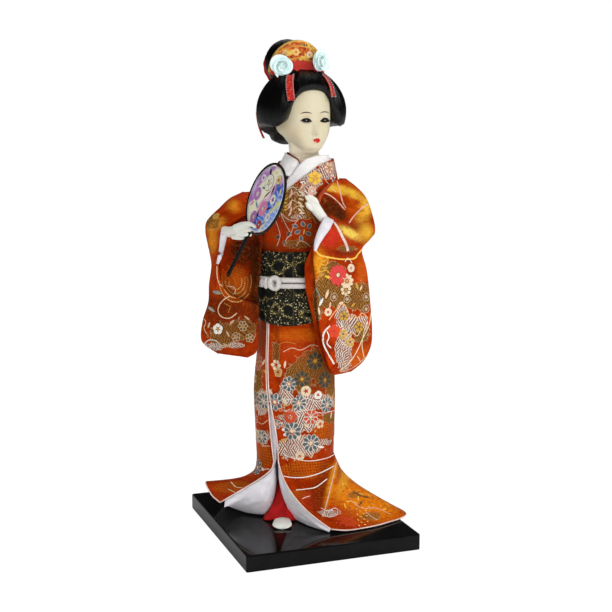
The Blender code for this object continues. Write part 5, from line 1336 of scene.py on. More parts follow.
knotAngle = radians(-24)
knotMiddle = sashPoint(knotAngle, cordHeight, 2 * cordRadius + 0.9)
knotOut = Vector((sin(knotAngle), -cos(knotAngle), 0))
knotSide = Vector((cos(knotAngle), sin(knotAngle), 0))
loop = []
for i in range(49):
    a = 2 * pi * i / 48
    loop.append(knotMiddle + knotSide * 3.1 * cos(a) + Vector((0, 0, 1)) * 3.3 * sin(a) + knotOut * 0.5 * cos(2 * a))
knotParts = braid(loop, 0.82, 7, 0.75, 120)
for lift, reach in ((1.5, -9.6), (-1.6, -9.4), (0.0, -10.4)):
    ends = [knotMiddle + knotSide * x + Vector((0, 0, lift * (1 - 0.25 * abs(x) / 9)))
        - knotOut * (0.3 + 0.02 * x * x) for x in (-1.5, -4.5, -7.0, reach)]
    knotParts += braid(ends, 0.8, 3, 0.65, 30)
knotParts += braid([knotMiddle + knotSide * -5.4 + Vector((0, 0, z)) + knotOut * (1.0 - 0.08 * z * z)
    for z in (-3.0, -1.5, 0, 1.5, 3.0)], 0.6, 2, 0.45, 24)
tubes("cord_knot", knotParts, (cordWhite,), replaced=["sash_cord_knot"])

print("stage: collars")

collar = [(-14, 228.0, 223.0, 2.7), (-22, 231.6, 224.0, 2.7), (-36, 234.2, 224.0, 1.6), (-80, 237.2, 229.0, 0.0),
    (-130, 236.6, 230.5, 0.0), (-180, 235.6, 231.0, 0.0), (-230, 235.4, 231.0, 0.0), (-265, 235.4, 231.4, 0.0),
    (-295, 236.1, 230.4, 0.0), (-332, 235.8, 228.0, 0.0), (-350, 234.8, 224.0, 0.0), (-363, 233.6, 220.0, 0.0),
    (-378, 229.6, 215.5, 0.0), (-388, 223.0, 214.0, 0.0)]


def collarGrid(columns, rows, first=0.0, last=1.0, further=0.0, raised=0.0):
    stations = [(i / (len(collar) - 1), *station) for i, station in enumerate(collar)]
    grid = [[] for _ in range(rows + 1)]
    for t in fractions(columns):
        way, upper, lower, inside = smoothStation(stations, between(first, last, t))
        for row, s in zip(grid, fractions(rows)):
            ribs = 0.1 * sin(s * pi * 8)
            depth = under + inside + further + 1.6 * (1 - s) - ribs
            row.append(bodyPoint(radians(way), between(upper + raised, lower + 3 * raised, s), -depth))
    return grid


cloth("collar_band", collarGrid(160, 12), lining, (collarWhite,), flip=True, replaced=["collar"])
cloth("collar_lining", collarGrid(50, 6, 2 / 28, 10 / 28, lining + 2 * gap, 0.4), lining, (pipingRed,), flip=True,
    replaced=["collar_piping"])

print("stage: sleeves")


def armDepth(x, z, start, end, radius):
    lineX, lineZ = end[0] - start[0], end[2] - start[2]
    t = ((x - start[0]) * lineX + (z - start[2]) * lineZ) / (lineX ** 2 + lineZ ** 2)
    t = min(max(t, 0), 1)
    distance = ((x - between(start[0], end[0], t)) ** 2 + (z - between(start[2], end[2], t)) ** 2) / radius ** 2
    return between(start[1], end[1], t), exp(-distance * 1.1)


# The point, brought forward where it would lie in the dressed body
def clearOfBody(point, front, clearance=clothThickness + 2 * gap):
    cx, cy, halfWidth, halfDepth = bodySection(point.z)
    clearance += 1.2 if front else 0.0
    clearance += (2 * cordRadius + gap) * ease((13 - abs(point.z - cordHeight)) / 8)
    if 130.0 < point.z < 181.5:
        halfWidth, halfDepth = sashWidth, sashDepth
    halfWidth, halfDepth = halfWidth + clearance, halfDepth + clearance
    reach = sqrt(((point.x - cx) / halfWidth) ** 2 + ((point.y - cy) / halfDepth) ** 2)
    if reach >= 1:
        return point
    depth = halfDepth * sqrt(max(1 - ((point.x - cx) / halfWidth) ** 2, 0))
    return Vector((point.x, min(point.y, cy - depth), point.z))


def sleevePoint(sleeve, along, z, front):
    outer = smoothStation(sleeve["outer"], z)[0]
    inner = smoothStation(sleeve["innerFront" if front else "innerBack"], z)[0]
    x = between(inner, outer, along)
    innerY, outerY, half = smoothStation(sleeve["plane"], z)
    wide = smoothStation(sleeve["innerBack"], z)[0]
    middle = between(innerY, outerY, min(max((x - wide) / (outer - wide), 0), 1))
    roundEdge = max(sqrt(max(1 - along ** 4, 0.0)), 0.45)
    side = -1 if front else 1
    y = middle + side * half * roundEdge
    for start, end, radius in sleeve["arms"]:
        axisY, weight = armDepth(x, z, start, end, radius)
        y = between(y, axisY + side * radius * roundEdge, weight * (1 if front else 0.6))
    if front:
        for creaseX, creaseZ, slope, depth, reach, width in sleeve["creases"]:
            away = (z - creaseZ - slope * (x - creaseX)) / width
            y += depth * exp(-away * away) * exp(-((x - creaseX) / reach) ** 2)
    soft = min(1.0, (1 - along) * 6) * min(1.0, along * 8)
    y += side * soft * (0.9 * rough(x / 12, z / 18, 3.0 * side) + 0.5 * rough(x / 5, z / 8, 9.0)
        + 0.22 * rough(x / 2.4, z / 3.5, 4.0))
    return clearOfBody(Vector((x, y, z)), front)


leftSleeve = {
    "outer": [(103.0, 34.0), (107.0, 39.5), (112.6, 44.0), (122.7, 47.2), (147.3, 45.9), (166.7, 43.6), (179, 40.8),
        (184.7, 45.3), (189.2, 48.6), (200, 47.0), (210.6, 43.0), (216.4, 37.6), (221.5, 31.0)],
    "innerFront": [(103.0, 23.4), (107.0, 21.0), (119.7, 17.0), (136, 14.3), (155, 12.4), (167, 11.6), (179, 10.8),
        (184, 12.4), (192, 14.0), (199, 14.6), (205, 13.6), (212, 15.0), (217, 19.0), (221.5, 25.0)],
    "innerBack": [(103.0, 21.4), (107.0, 19.0), (120.6, 13.8), (142.3, 9.4), (155, 6.4), (167, 5.4), (172, 5.7),
        (181, 9.5), (192, 14.0), (203, 24.0), (212, 26.0), (221.5, 26.8)],
    "plane": [(103.0, -22.0, -11.0, 2.4), (108, -23.5, -11.0, 2.8), (130, -25.5, -9.0, 3.0), (172, -27.5, -8.0, 3.4),
        (190, -26.0, -6.0, 4.2), (203, -12.0, -3.0, 6.0), (214, -2.0, -1.0, 5.5), (221.5, 1.0, 0.0, 3.0)],
    "arms": [((26.0, 2.0, 214.0), (43.0, -5.0, 193.0), 8.6), ((43.0, -7.0, 190.0), (20.0, -24.0, 192.0), 7.6)],
    "creases": [(26.0, 175.5, -0.05, 3.2, 16, 3.2), (26.0, 205.0, -0.35, 3.6, 16, 3.2),
        (38.0, 185.0, 0.5, 1.6, 10, 2.2), (40.0, 199.0, 0.7, 1.4, 7, 2.0), (34.0, 150.0, 0.2, 0.7, 16, 4.0),
        (30.0, 130.0, -0.4, 0.6, 14, 4.0)],
    "fields": [(0, 333, 272, 12, 10), (0, 326, 290, 9, 18), (0, 358, 296, 14, 14), (0, 340, 298, 14, 12),
        (0, 361, 332, 8, 10), (0, 342, 352, 7, 12), (1, 347, 325, 12, 12), (1, 342, 312, 6, 8), (1, 362, 322, 7, 7),
        (1, 344, 350, 9, 20), (0, 347, 249, 9, 3), (0, 318, 300, 5, 20), (2, 355, 190, 12, 10), (2, 325, 262, 10, 8),
        (2, 366, 236, 8, 10)],
    # tints: painted shade in the hollow above the hand and along the sleeve's mouth, painted highlights on the
    # shoulder and outer side, and patches of red and orange
    "tintsAndPaintedLight": [(326, 203, 7, 8, 10, hollowShade, 0.97), (333, 208, 11, 8, 35, (0.09, 0.01, 0.004), 0.97),
        (341, 215, 6, 5, 20, (0.04, 0.006, 0.003), 0.95), (356, 227, 9, 4, 10, (0.3, 0.03, 0.006), 0.8),
        (330, 238, 10, 8, -40, (0.72, 0.03, 0.02), 0.85), (345, 253, 16, 3, 2, (0.28, 0.02, 0.008), 0.8),
        (330, 187, 8, 4, 10, yellow, 0.9), (342, 190, 9, 4, 20, yellow, 0.8), (354, 194, 11, 4, 25, yellow, 0.85),
        (364, 210, 7, 12, 20, yellow, 0.85), (354, 208, 8, 8, 0, (0.7, 0.1, 0.006), 0.8),
        (366, 232, 7, 8, 0, yellow, 0.6), (350, 233, 11, 4, 30, (1.0, 0.72, 0.12), 0.95),
        (320, 265, 6, 14, 0, (0.92, 0.38, 0.02), 0.75), (363, 270, 6, 16, 0, (0.7, 0.11, 0.008), 0.7),
        (359, 358, 12, 9, -40, (0.66, 0.1, 0.008), 0.9), (362, 190, 12, 5, 40, (0.66, 0.1, 0.008), 0.5),
        (334, 330, 5, 9, 0, (0.72, 0.05, 0.01), 0.85)],
    "flowers": ((338, 275, 6.6, 10, (0.72, 0.05, 0.045), None, cream, 90, 0.8, 0.2),
        (347, 281, 4.6, 9, cream, None, gold, 250, 0.62), (346, 290, 4.0, 7, cream, brown, gold, 270, 0.7),
        (334, 331, 4.6, 5, (0.74, 0.06, 0.015), None, red, 90, 0.6, 0.1),
        (344, 316, 3.6, 5, gold, brown, brown, 80, 0.6, 0.1), (359, 327, 3.8, 5, gold, brown, brown, 100, 0.6, 0.1),
        (343, 334, 3.6, 5, gold, cream, brown, 60, 0.6, 0.1), (350, 342, 3.4, 5, gold, cream, brown, 20, 0.6, 0.1),
        (366, 297, 2.6, 5, brown, cream, cream, 20), (366, 309, 2.6, 5, brown, cream, cream, 60),
        (334, 297, 2.6, 5, brown, cream, cream, 60), (347, 299, 2.4, 5, brown, cream, cream, 10),
        (328, 312, 2.6, 6, cream, None, red, 10), (351, 268, 2.6, 5, cream, white, gold, 30)),
    "leaves": ((327, 294, 6, 1.9, 70, cream), (321, 302, 6, 1.9, 60, white), (325, 268, 4, 1.6, 10, gold),
        (328, 277, 5, 1.6, 160, yellow), (322, 275, 4, 1.4, 30, gold), (357, 286, 5, 1.8, 110, gold),
        (330, 305, 4, 1.4, 80, pink), (341, 303, 4, 1.4, 20, cream), (355, 300, 5, 1.6, 130, brown),
        (319, 311, 5, 1.5, 100, cream), (353, 305, 4, 1.4, 40, gold), (361, 288, 4, 1.4, 60, cream)),
    "strokes": (([(336, 178), (339, 187), (341, 196), (343, 203), (346, 208)], 0.75, pink),
        ([(318, 194), (324, 193), (331, 196), (338, 202), (345, 210)], 0.75, pink),
        ([(349, 223), (354, 216), (361, 209), (369, 203)], 0.75, pink),
        ([(334, 222), (338, 228), (342, 236), (346, 244), (348, 251)], 1.6, (0.82, 0.66, 0.6)),
        ([(315.5, 250), (320, 255), (330, 257.5), (342, 259.3), (354, 258.5), (358, 254), (362, 249.5)], 1.0,
        (1.0, 0.62, 0.1)), ([(318, 257), (323, 262), (328, 258), (326, 265), (319, 263)], 0.5, yellow),
        ([(317, 268), (321, 272), (326, 270), (330, 274)], 0.5, yellow),
        ([(371, 313), (369, 325), (363, 338), (357, 351), (350, 362), (340, 371)], 0.7, cream),
        ([(368, 322), (364, 332), (362, 344), (363, 352), (364, 357)], 0.6, cream),
        ([(357, 356), (359, 359), (361, 362)], 0.5, cream), ([(340, 372), (350, 369), (358, 364), (366, 357)], 0.5,
        cream), ([(330, 326), (325, 331), (323, 337), (324, 345), (328, 353), (334, 364)], 1.1, white),
        ([(327, 331), (329, 337), (327, 343), (331, 348)], 0.8, white),
        ([(329, 320), (334, 313), (342, 304), (347, 309), (350, 320)], 0.7, (0.9, 0.45, 0.2)),
        ([(350, 320), (354, 315), (358, 318), (362, 313), (368, 318)], 0.7, (0.9, 0.45, 0.2)),
        ([(341, 322), (344, 330), (346, 334), (350, 324)], 0.5, cream),
        ([(347, 337), (352, 332), (357, 336), (361, 330)], 0.5, cream),
        ([(340, 340), (346, 345), (353, 341)], 0.5, cream), ([(315, 285), (318, 292), (321, 300)], 0.5, teal),
        ([(316, 318), (320, 330), (325, 345), (331, 358)], 0.5, dark),
        ([(329, 180), (332, 188), (336, 192)], 0.5, (0.86, 0.6, 0.3)),
        ([(345, 262), (348, 258), (352, 263)], 0.5, white)),
}
rightSleeve = {
    "outer": [(112.6, -49.0), (117.4, -56.6), (122.0, -59.4), (133.4, -58.2), (145, -54.6), (156, -54.0),
        (168.7, -52.4), (180, -54.2), (190, -55.8), (196, -54.6), (203.3, -47.4), (209.5, -40.5), (213.0, -33.0)],
    "innerFront": [(112.6, -30.0), (115.8, -24.6), (128, -23.2), (138, -22.8), (146, -24.0), (149, -36.0),
        (153, -43.0), (160, -47.0), (171.6, -47.6), (181.7, -45.8), (190, -43.6), (197, -36.0), (203, -25.0),
        (213, -22.8)],
    "innerBack": [(112.6, -30.0), (115.8, -24.6), (128, -22.6), (147, -22.8), (156, -22.6), (166, -21.2),
        (182, -20.6), (190, -20.6), (197, -20.8), (213, -20.8)],
    "plane": [(112.6, -12.5, -2.0, 2.4), (118, -13.5, -1.0, 3.0), (140, -14.5, 0.0, 3.6), (178, -13.0, 0.0, 5.0),
        (197, -6.0, 1.0, 6.0), (213, 3.0, 4.0, 3.0)],
    "arms": [((-26.0, 5.0, 207.0), (-50.0, 1.0, 192.0), 7.8), ((-50.0, 0.0, 190.0), (-44.0, -12.0, 188.0), 7.0)],
    "creases": [(-40.0, 172.0, 0.3, 1.4, 16, 3.2), (-38.0, 200.0, 0.4, 1.6, 16, 3.2),
        (-46.0, 204.0, 1.2, 1.2, 6, 1.6), (-52.0, 180.0, 1.6, 1.0, 6, 2.2), (-42.0, 132.0, 0.2, 0.8, 16, 4.0)],
    "fields": [(0, 222, 335, 12, 12), (0, 242, 330, 14, 10), (1, 212, 347, 14, 3.5), (1, 236, 345, 8, 3),
        (2, 236, 282, 14, 16), (0, 213, 222, 6, 8), (2, 212, 240, 6, 14)],
    # tints: painted shade in the hollow, between sleeve and sash and over the lower sleeve; painted highlights round
    # the elbow; a lighter patch round the dotted arcs
    "tintsAndPaintedLight": [(243, 250, 14, 16, 0, (0.07, 0.008, 0.004), 0.95), (258, 280, 7, 44, 0, (0.05, 0.006, 0.003), 0.95),
        (228, 318, 34, 24, 0, (0.2, 0.018, 0.003), 0.65), (216, 225, 10, 5, -35, (0.9, 0.36, 0.03), 0.8),
        (213, 240, 4, 12, 0, (0.85, 0.3, 0.02), 0.7), (234, 206, 7, 6, 0, (0.88, 0.32, 0.02), 0.6),
        (225, 305, 24, 8, 0, (0.16, 0.014, 0.003), 0.5), (236, 288, 13, 12, 0, (0.72, 0.13, 0.012), 0.6),
        (240, 195, 5, 8, 0, (0.55, 0.03, 0.006), 0.6)],
    "flowers": ((218, 329, 3.6, 5, white, None, gold, 90, 0.7), (243, 326, 3.4, 6, brown, cream, gold, 60, 0.7),
        (236, 337, 3.0, 5, brown, cream, gold, 30, 0.7), (250, 338, 3.0, 5, brown, cream, gold, 10, 0.7),
        (216, 216, 2.6, 5, gold, None, cream, 10, 0.7)),
    "strokes": (([(228, 286), (234, 287), (236, 291), (233, 295), (226, 298), (220, 304), (218, 311), (222, 317),
        (230, 318), (237, 313)], 0.6, cream), ([(217, 266), (217, 275), (219, 283), (224, 288)], 0.6, cream),
        ([(203, 345), (209, 340), (216, 341), (222, 346)], 0.8, (0.6, 0.52, 0.44)),
        ([(205, 350), (212, 346), (219, 350)], 0.8, (0.6, 0.52, 0.44)),
        ([(224, 303), (230, 307), (228, 313)], 0.35, gold), ([(203, 318), (206, 322), (204, 328), (207, 334)], 0.4,
        cream)),
}


def sleeveGrid(sleeve, top, foot, rows, columns):
    grid = []
    for i in range(rows + 1):
        z = between(top, foot, i / rows)
        ways = [1 - (1 - k / columns) ** 1.2 for k in range(columns + 1)]
        row = [sleevePoint(sleeve, c, z, True) for c in ways]
        row += [sleevePoint(sleeve, c, z, False) for c in reversed(ways)]
        grid.append(row)
    return grid


def makeSleeve(name, sleeve, top, foot, rows, replaced):
    grid = sleeveGrid(sleeve, top, foot, rows, 34)
    return cloth(name, grid, clothThickness, (brocade, brocade, brocade), replaced=[replaced],
        flip=grid[0][0].x < 0)


leftPiece = makeSleeve("sleeve_cloth_left", leftSleeve, 221.5, 103.0, 170, "sleeve_left")
rightPiece = makeSleeve("sleeve_cloth_right", rightSleeve, 213.0, 112.6, 150, "sleeve_right")
paint(leftPiece, leftSleeve["fields"], leftSleeve["tintsAndPaintedLight"], 0.5, True)
work = Embroidery(surfaceOf(leftPiece), clothThickness)
work.flowers(leftSleeve["flowers"])
work.leaves(leftSleeve["leaves"])
work.strokes(leftSleeve["strokes"])
scatter(work, [(az, z) for z in (118, 136, 154, 172) for az in (60, 84, 108)], 3.4, 18.0, 0.0)
work.finish("sleeve_motifs_left")

paint(rightPiece, rightSleeve["fields"], rightSleeve["tintsAndPaintedLight"], 0.5, True)
work = Embroidery(surfaceOf(rightPiece), clothThickness)
work.flowers(rightSleeve["flowers"])
work.leaves(((217, 292.5, 7.5, 2.2, -6, grey, brown), (211, 309, 7.0, 2.0, -32, grey, brown)))
for u, v, angle in ((232, 322, 40), (228, 334, 120), (240, 344, 10), (209, 325, 70), (226, 345, 160),
        (247, 318, 150)):
    work.leaf(work.at(u, v), 4.6, 1.4, angle, (0.6, 0.4, 0.24))
work.strokes(rightSleeve["strokes"])
for ring in (7, 10.5, 14, 17.5):  # dotted arcs round one place
    for k in range(int(ring * 2.2)):
        a = pi * (0.42 + 1.12 * k / (ring * 2.2))
        spot = work.at(236 - ring * 0.95 * sin(a) * -1, 281 - ring * 1.2 * cos(a))
        if spot:
            work.polygon(*spot, [(0.38 * cos(2 * pi * j / 6), 0.38 * sin(2 * pi * j / 6)) for j in range(6)], 0.12,
                (1.0, 0.6, 0.18))
scatter(work, [(az, z) for z in (126, 146, 166, 186) for az in (170, 200, 232)], 3.4, -44.0, 16.0, True)
work.finish("sleeve_motifs_right")


# A narrow curved sheet along pixels of the photograph, laid over a surface
def pixelStrip(name, surface, middles, halfWidths, lift, look):
    grid = []
    back = stand.inverted()
    for t in fractions(24):
        u, v, half = curveThrough([(*m, h) for m, h in zip(middles, halfWidths)], t)
        ahead = curveThrough([(*m, 0) for m in middles], min(t + 0.05, 1)) - curveThrough([(*m, 0) for m in middles],
            max(t - 0.05, 0))
        sideways = Vector((-ahead.y, ahead.x, 0)).normalized()
        row, depth = [], None
        for s in (-1, -0.75, -0.4, 0, 0.4, 0.75, 1):
            origin, way = pixelRay(u + sideways.x * s * half, v + sideways.y * s * half)
            spot, normal, _, far = surface.ray_cast(origin, way)
            if spot is None:
                far = depth or 0.72
            depth = far
            row.append(far)
        level = sorted(row)[1]
        points = []
        for s, far in zip((-1, -0.75, -0.4, 0, 0.4, 0.75, 1), row):
            origin, way = pixelRay(u + sideways.x * s * half, v + sideways.y * s * half)
            crown = lift + 0.9 * (1 - s * s)
            points.append(back @ (origin + way * (level - crown * mm)) / mm)
        grid.append(points)
    return cloth(name, grid, 0.5, (look,))


seam = [sleevePoint(leftSleeve, 0.0, z, True) + Vector((-0.2, -0.6, 0)) for z in (219.5, 216, 212, 208, 204.5)]
tubes("shoulder_seam", [tubeMesh([curveThrough(seam, t) for t in fractions(24)],
    [0.7 + 0.6 * sin(pi * t) for t in fractions(24)], 10)], (orangeSatin,))
leftSurface = surfaceOf(leftPiece)
rightSurface = surfaceOf(rightPiece)
pixelStrip("cuff_left", leftSurface, [(329.5, 218.5), (325.5, 226), (320.5, 235), (317, 243), (315, 251)],
    (4.6, 5.0, 3.8, 2.4, 0.6), 1.0, satin)
pixelStrip("cuff_right", rightSurface, [(225.5, 229), (223.5, 237), (222, 246), (220, 256), (217.5, 264)],
    (3.4, 3.0, 2.3, 1.7, 0.6), 0.8, satin)

print("stage: head")

headX, headY, headYaw = 3.7, 0.0, 27.0
headPlan = {
    "sections": [(222.4, 10.8, 8.8, 10.4, 3.0, 2.2), (231, 9.5, 7.4, 9.6, 3.2, 2.4), (236, 9.2, 7.2, 8.8, 2.3, 1.6),
        (237.4, 9.0, 9.6, 9.0, 1.2, 0.5), (238.6, 9.2, 14.6, 9.2, 0.4, 0.2), (240.2, 10.6, 17.0, 9.4, 0.0, 0.0),
        (244, 12.8, 18.1, 10.4, 0.0, 0.0), (250, 15.7, 18.2, 14.0, 0.0, 0.0), (257, 16.9, 18.2, 17.0, 0.0, 0.0),
        (264, 17.1, 18.6, 17.5, 0.0, 0.0), (270, 16.5, 18.0, 17.0, 0.0, 0.0), (275, 14.8, 16.0, 15.2, 0.0, 0.0),
        (279.5, 11.3, 12.0, 12.0, 0.0, 0.0), (282.6, 6.8, 7.0, 7.0, 0.0, 0.0), (283.8, 2.0, 2.0, 2.0, 0.0, 0.0)],
    "lipUpper": [(313.2, 140.3), (314.4, 139.0), (315.9, 138.1), (317.0, 138.6), (318.1, 138.0), (319.4, 138.9),
        (320.4, 140.1), (318.6, 140.5), (316.9, 140.7), (315.0, 140.6)],
    "lipLower": [(313.4, 140.5), (315.0, 140.8), (316.9, 140.9), (318.6, 140.7), (320.2, 140.3), (319.4, 142.0),
        (318.0, 142.9), (316.8, 143.1), (315.4, 142.8), (314.2, 141.9)],
}


def headPoint(angle, z):
    halfWidth, front, back, shiftX, shiftY = smoothStation(headPlan["sections"], z)
    side = degrees(angle if angle <= pi else angle - 2 * pi)
    away = abs(side)
    relief = 2.2 * hump(side, 0, 5.2) * hump(z, 250.0, 1.9) + 1.25 * hump(side, 0, 4.6) * hump(z, 254.2, 3.4)
    relief += 0.6 * hump(away, 6.0, 2.4) * hump(z, 249.3, 1.1)
    relief += 0.75 * hump(away, 2.6, 4.2) * hump(z, 246.2, 0.85) + 0.8 * hump(side, 0, 5.6) * hump(z, 244.1, 0.9)
    relief -= 0.28 * hump(side, 0, 8.5) * hump(z, 245.2, 0.3)
    relief += 0.7 * hump(side, 0, 14) * hump(z, 240.6, 1.7)
    relief -= 1.05 * hump(away, 21, 9.5) * hump(z, 257.2, 3.0)
    relief += 0.5 * hump(away, 21, 7.0) * hump(z, 256.6, 1.5) + 0.25 * hump(away, 20, 12) * hump(z, 262.0, 2.0)
    relief += 0.7 * hump(away, 38, 15) * hump(z, 248.8, 4.6)
    depth, forward = (front + back) / 2, (front - back) / 2
    x = halfWidth * sin(angle)
    y = -forward - depth * cos(angle)
    length = sqrt(x * x + y * y) or 1.0
    x, y = turned(x * (1 + relief / length), y * (1 + relief / length), headYaw)
    jaw = 4.6 * ease((z - 236.6) / 2.0) * (1 - ease((z - 239.2) / 14)) * ease((away - 24) / 62)
    return Vector((headX + shiftX + x, headY + shiftY + y, z + jaw))


headHeights = [222.4 + 0.95 * i for i in range(15)] + [236.4 + 0.33 * i for i in range(80)] + [262.9 + 1.05 * i
    for i in range(20)] + [283.7]
headAngles = [2 * pi * j / 170 - 0.42 * sin(2 * pi * j / 170) for j in range(170)]
head = solidOf("head_skin", [[headPoint(a, z) for a in headAngles] for z in headHeights], (skin,), replaced=["head"])
# blush on the cheeks and warmer round the eye sockets; painted shade under the nose, on one temple and under the chin
blushAndShadeValues = []
for z in headHeights:
    for a in headAngles:
        side = degrees(a if a <= pi else a - 2 * pi)
        cheek = 0.1 * hump(abs(side), 38, 14) * hump(z, 249, 4)
        socket = 0.12 * hump(abs(side), 17, 9) * hump(z, 259, 2.2)
        noseShade = 0.16 * hump(side, 0, 7) * hump(z, 248.2, 0.8)
        templeShade = 0.28 * hump(side, -64, 16) * hump(z, 250, 9)
        chinShade = 0.4 * hump(z, 238.9, 0.55) * hump(side, -8, 46)
        blushAndShadeValues.append(min(cheek + socket + noseShade + templeShade + chinShade, 1.0))
# the neck painted paler below the chin: painted light in the chin's shade
neckLightLayer = head.data.attributes.new("paintedNeckLight", "FLOAT", "POINT")
neckLightLayer.data.foreach_set("value", [ease((240.0 - z) / 2.6) for z in headHeights for a in headAngles])
blushAndShadeLayer = head.data.attributes.new("blushAndShade", "FLOAT", "POINT")
blushAndShadeLayer.data.foreach_set("value", blushAndShadeValues)

face = Embroidery(surfaceOf(head))
black, iris, glint = (0.006, 0.005, 0.005), (0.035, 0.014, 0.008), (0.95, 0.95, 0.95)


# A flat painted shape, its outline given as pixels of the photograph
def patchOn(work, pixels, colour, lift):
    spots = [work.at(u, v) for u, v in pixels]
    if None in spots:
        return
    centre = sum((s[0] for s in spots), Vector()) / len(spots)
    start, count = len(work.points), len(spots)
    work.points.append(work.lay(centre, lift))
    for share in (0.25, 0.5, 0.75, 1.0):
        work.points += [work.lay(centre.lerp(s[0], share), lift) for s in spots]
    work.faces += [(start, start + 1 + j, start + 1 + (j + 1) % count) for j in range(count)]
    for ring in range(3):
        low, high = start + 1 + ring * count, start + 1 + (ring + 1) * count
        work.faces += [(low + j, high + j, high + (j + 1) % count, low + (j + 1) % count) for j in range(count)]
    work.colours += [colour] * (4 * count + 1)


def roundPixels(u, v, halfWidth, halfHeight, turn=0, count=14):
    ring = []
    for j in range(count):
        a = 2 * pi * j / count
        du, dv = turned(halfWidth * cos(a), halfHeight * sin(a), turn)
        ring.append((u + du, v + dv))
    return ring


for inner, outer, middle, top, low in ((312.0, 300.4, 306.6, 118.9, 123.0), (320.6, 329.8, 324.9, 118.5, 122.4)):
    eyeWhite = [(inner, 121.6), (between(inner, middle, 0.5), top + 0.7), (middle, top + 0.2),
        (between(middle, outer, 0.55), top + 0.9), (outer, 121.0), (between(middle, outer, 0.5), low - 0.5),
        (middle, low), (between(inner, middle, 0.5), low - 0.3)]
    patchOn(face, eyeWhite, (0.5, 0.47, 0.42), 0.05)
    patchOn(face, roundPixels(middle, 120.9, 5.0, 1.65), iris, 0.07)
    patchOn(face, roundPixels(middle, 120.8, 4.4, 1.55), black, 0.09)
    patchOn(face, roundPixels(middle - 0.2, 120.4, 0.35, 0.35, 0, 8), glint, 0.11)
    lid = [(inner, 121.8), (between(inner, middle, 0.5), top + 0.5), (middle, top + 0.1),
        (between(middle, outer, 0.55), top + 0.6), (outer, 121.1)]
    face.stroke(lid, 1.25, black, 0.1, True)
    face.stroke([(inner, 122.0), (between(inner, middle, 0.5), low - 0.1), (middle, low + 0.2),
        (between(middle, outer, 0.6), low - 0.4), (outer, 121.2)], 0.28, (0.1, 0.05, 0.035), 0.07, True)
    face.stroke([(between(inner, middle, 0.2), top - 1.4), (middle, top - 2.1),
        (between(middle, outer, 0.8), top - 0.9)], 0.14, (0.55, 0.36, 0.24), 0.02, True)
face.stroke([(300.2, 113.7), (303.4, 112.7), (306.4, 112.3), (309.4, 112.7), (311.9, 113.6)], 0.75,
    (0.07, 0.05, 0.04), 0.03, True)
face.stroke([(320.0, 113.2), (322.4, 112.1), (324.9, 111.8), (327.3, 112.2), (329.3, 113.1)], 0.75,
    (0.07, 0.05, 0.04), 0.03, True)
patchOn(face, headPlan["lipUpper"], (0.5, 0.008, 0.01), 0.08)
patchOn(face, headPlan["lipLower"], (0.6, 0.012, 0.012), 0.08)
face.stroke([(313.0, 140.4), (315.0, 140.7), (316.9, 140.8), (318.8, 140.6), (320.6, 140.2)], 0.2,
    (0.2, 0.004, 0.006), 0.05, True)
# painted shadow under the nose
face.stroke([(315.4, 133.5), (316.5, 134.2), (317.8, 133.9)], 0.45, (0.46, 0.3, 0.18), 0.02, True)
face.finish("face_paint", facePaint)

print("stage: hair")

wigZ = 262.0
rim = [(0, 38.0), (18, 36.0), (30, 30.0), (41, 18.0), (48, 0.0), (55, -14.0), (66, -20.0), (90, -19.0), (112, -23.0),
    (128, -36.0), (142, -45.0), (160, -50.0), (180, -51.0)]


def headReach(way):
    low, high = 2.0, 40.0
    for _ in range(18):
        mid = (low + high) / 2
        point = way * mid
        z = wigZ + point.z
        halfWidth, front, back = smoothStation(headPlan["sections"], z)[:3]
        depth, forward = (front + back) / 2, (front - back) / 2
        inside = (point.x / halfWidth) ** 2 + ((point.y + forward) / depth) ** 2 < 1 and z < 284
        low, high = (mid, high) if inside else (low, mid)
    return low


def direction(azimuth, elevation):
    return Vector((cos(elevation) * sin(azimuth), -cos(elevation) * cos(azimuth), sin(elevation)))


def wigReach(azimuth, elevation):
    side = abs(degrees(azimuth if azimuth <= pi else 2 * pi - azimuth))
    up = degrees(elevation)
    d = direction(azimuth, elevation)
    depth = between(21.5, 25.0, ease((side - 60) / 80))
    height = 27.0 if up > 0 else 30.0
    reach = 1 / sqrt((d.x / 27.8) ** 2 + (d.y / depth) ** 2 + (d.z / height) ** 2)
    crown = ease((88 - up) / 30)
    reach *= 1 - 0.1 * hump(side, 44, 7) * crown - 0.09 * hump(side, 133, 8) * crown
    reach *= 1 + 0.05 * hump(side, 0, 24) * hump(up, 42, 18) + 0.03 * hump(side, 88, 26) * hump(up, 5, 25)
    return reach * (1 - 0.05 * hump(side, 0, 28) * hump(up, 88, 22))


def onWig(azimuth, elevation, reach):
    p = direction(azimuth, elevation) * reach
    x, y = turned(p.x, p.y, headYaw)
    return Vector((headX + x, headY + y, wigZ + p.z))


def strandLift(azimuth, t):
    a = degrees(azimuth)
    return 0.16 * rough(a / 1.6, t * 1.2, 1.0) + 0.22 * rough(a / 5.5, t * 1.6, 6.0)


wigCount = 300
wigRings, wigUvs = [], []
for inner, steps in ((True, (0.5, 0.25, 0.0)), (False, [i / 60 for i in range(60)] + [0.985])):
    for t in steps:
        ring = []
        for j in range(wigCount):
            azimuth = (2 * pi * j / wigCount + pi) % (2 * pi)
            side = degrees(azimuth if azimuth <= pi else 2 * pi - azimuth)
            elevation = between(radians(smoothStation(rim, side)[0]), pi / 2, t)
            if inner:
                reach = headReach(direction(azimuth, elevation)) + (seatGap if t == 0 else 5 * seatGap)
            else:
                tuck = 1 - 0.07 * (1 - ease(t / 0.05))
                reach = wigReach(azimuth, elevation) * tuck + strandLift(azimuth, t) * ease((0.9 - t) / 0.3)
            ring.append(onWig(azimuth, elevation, reach))
            wigUvs.append((360 * j / wigCount, (t if not inner else -t) * 60))
        wigRings.append(ring)
solidOf("wig_hair", wigRings, (hair,), replaced=["wig"], uvs=wigUvs)

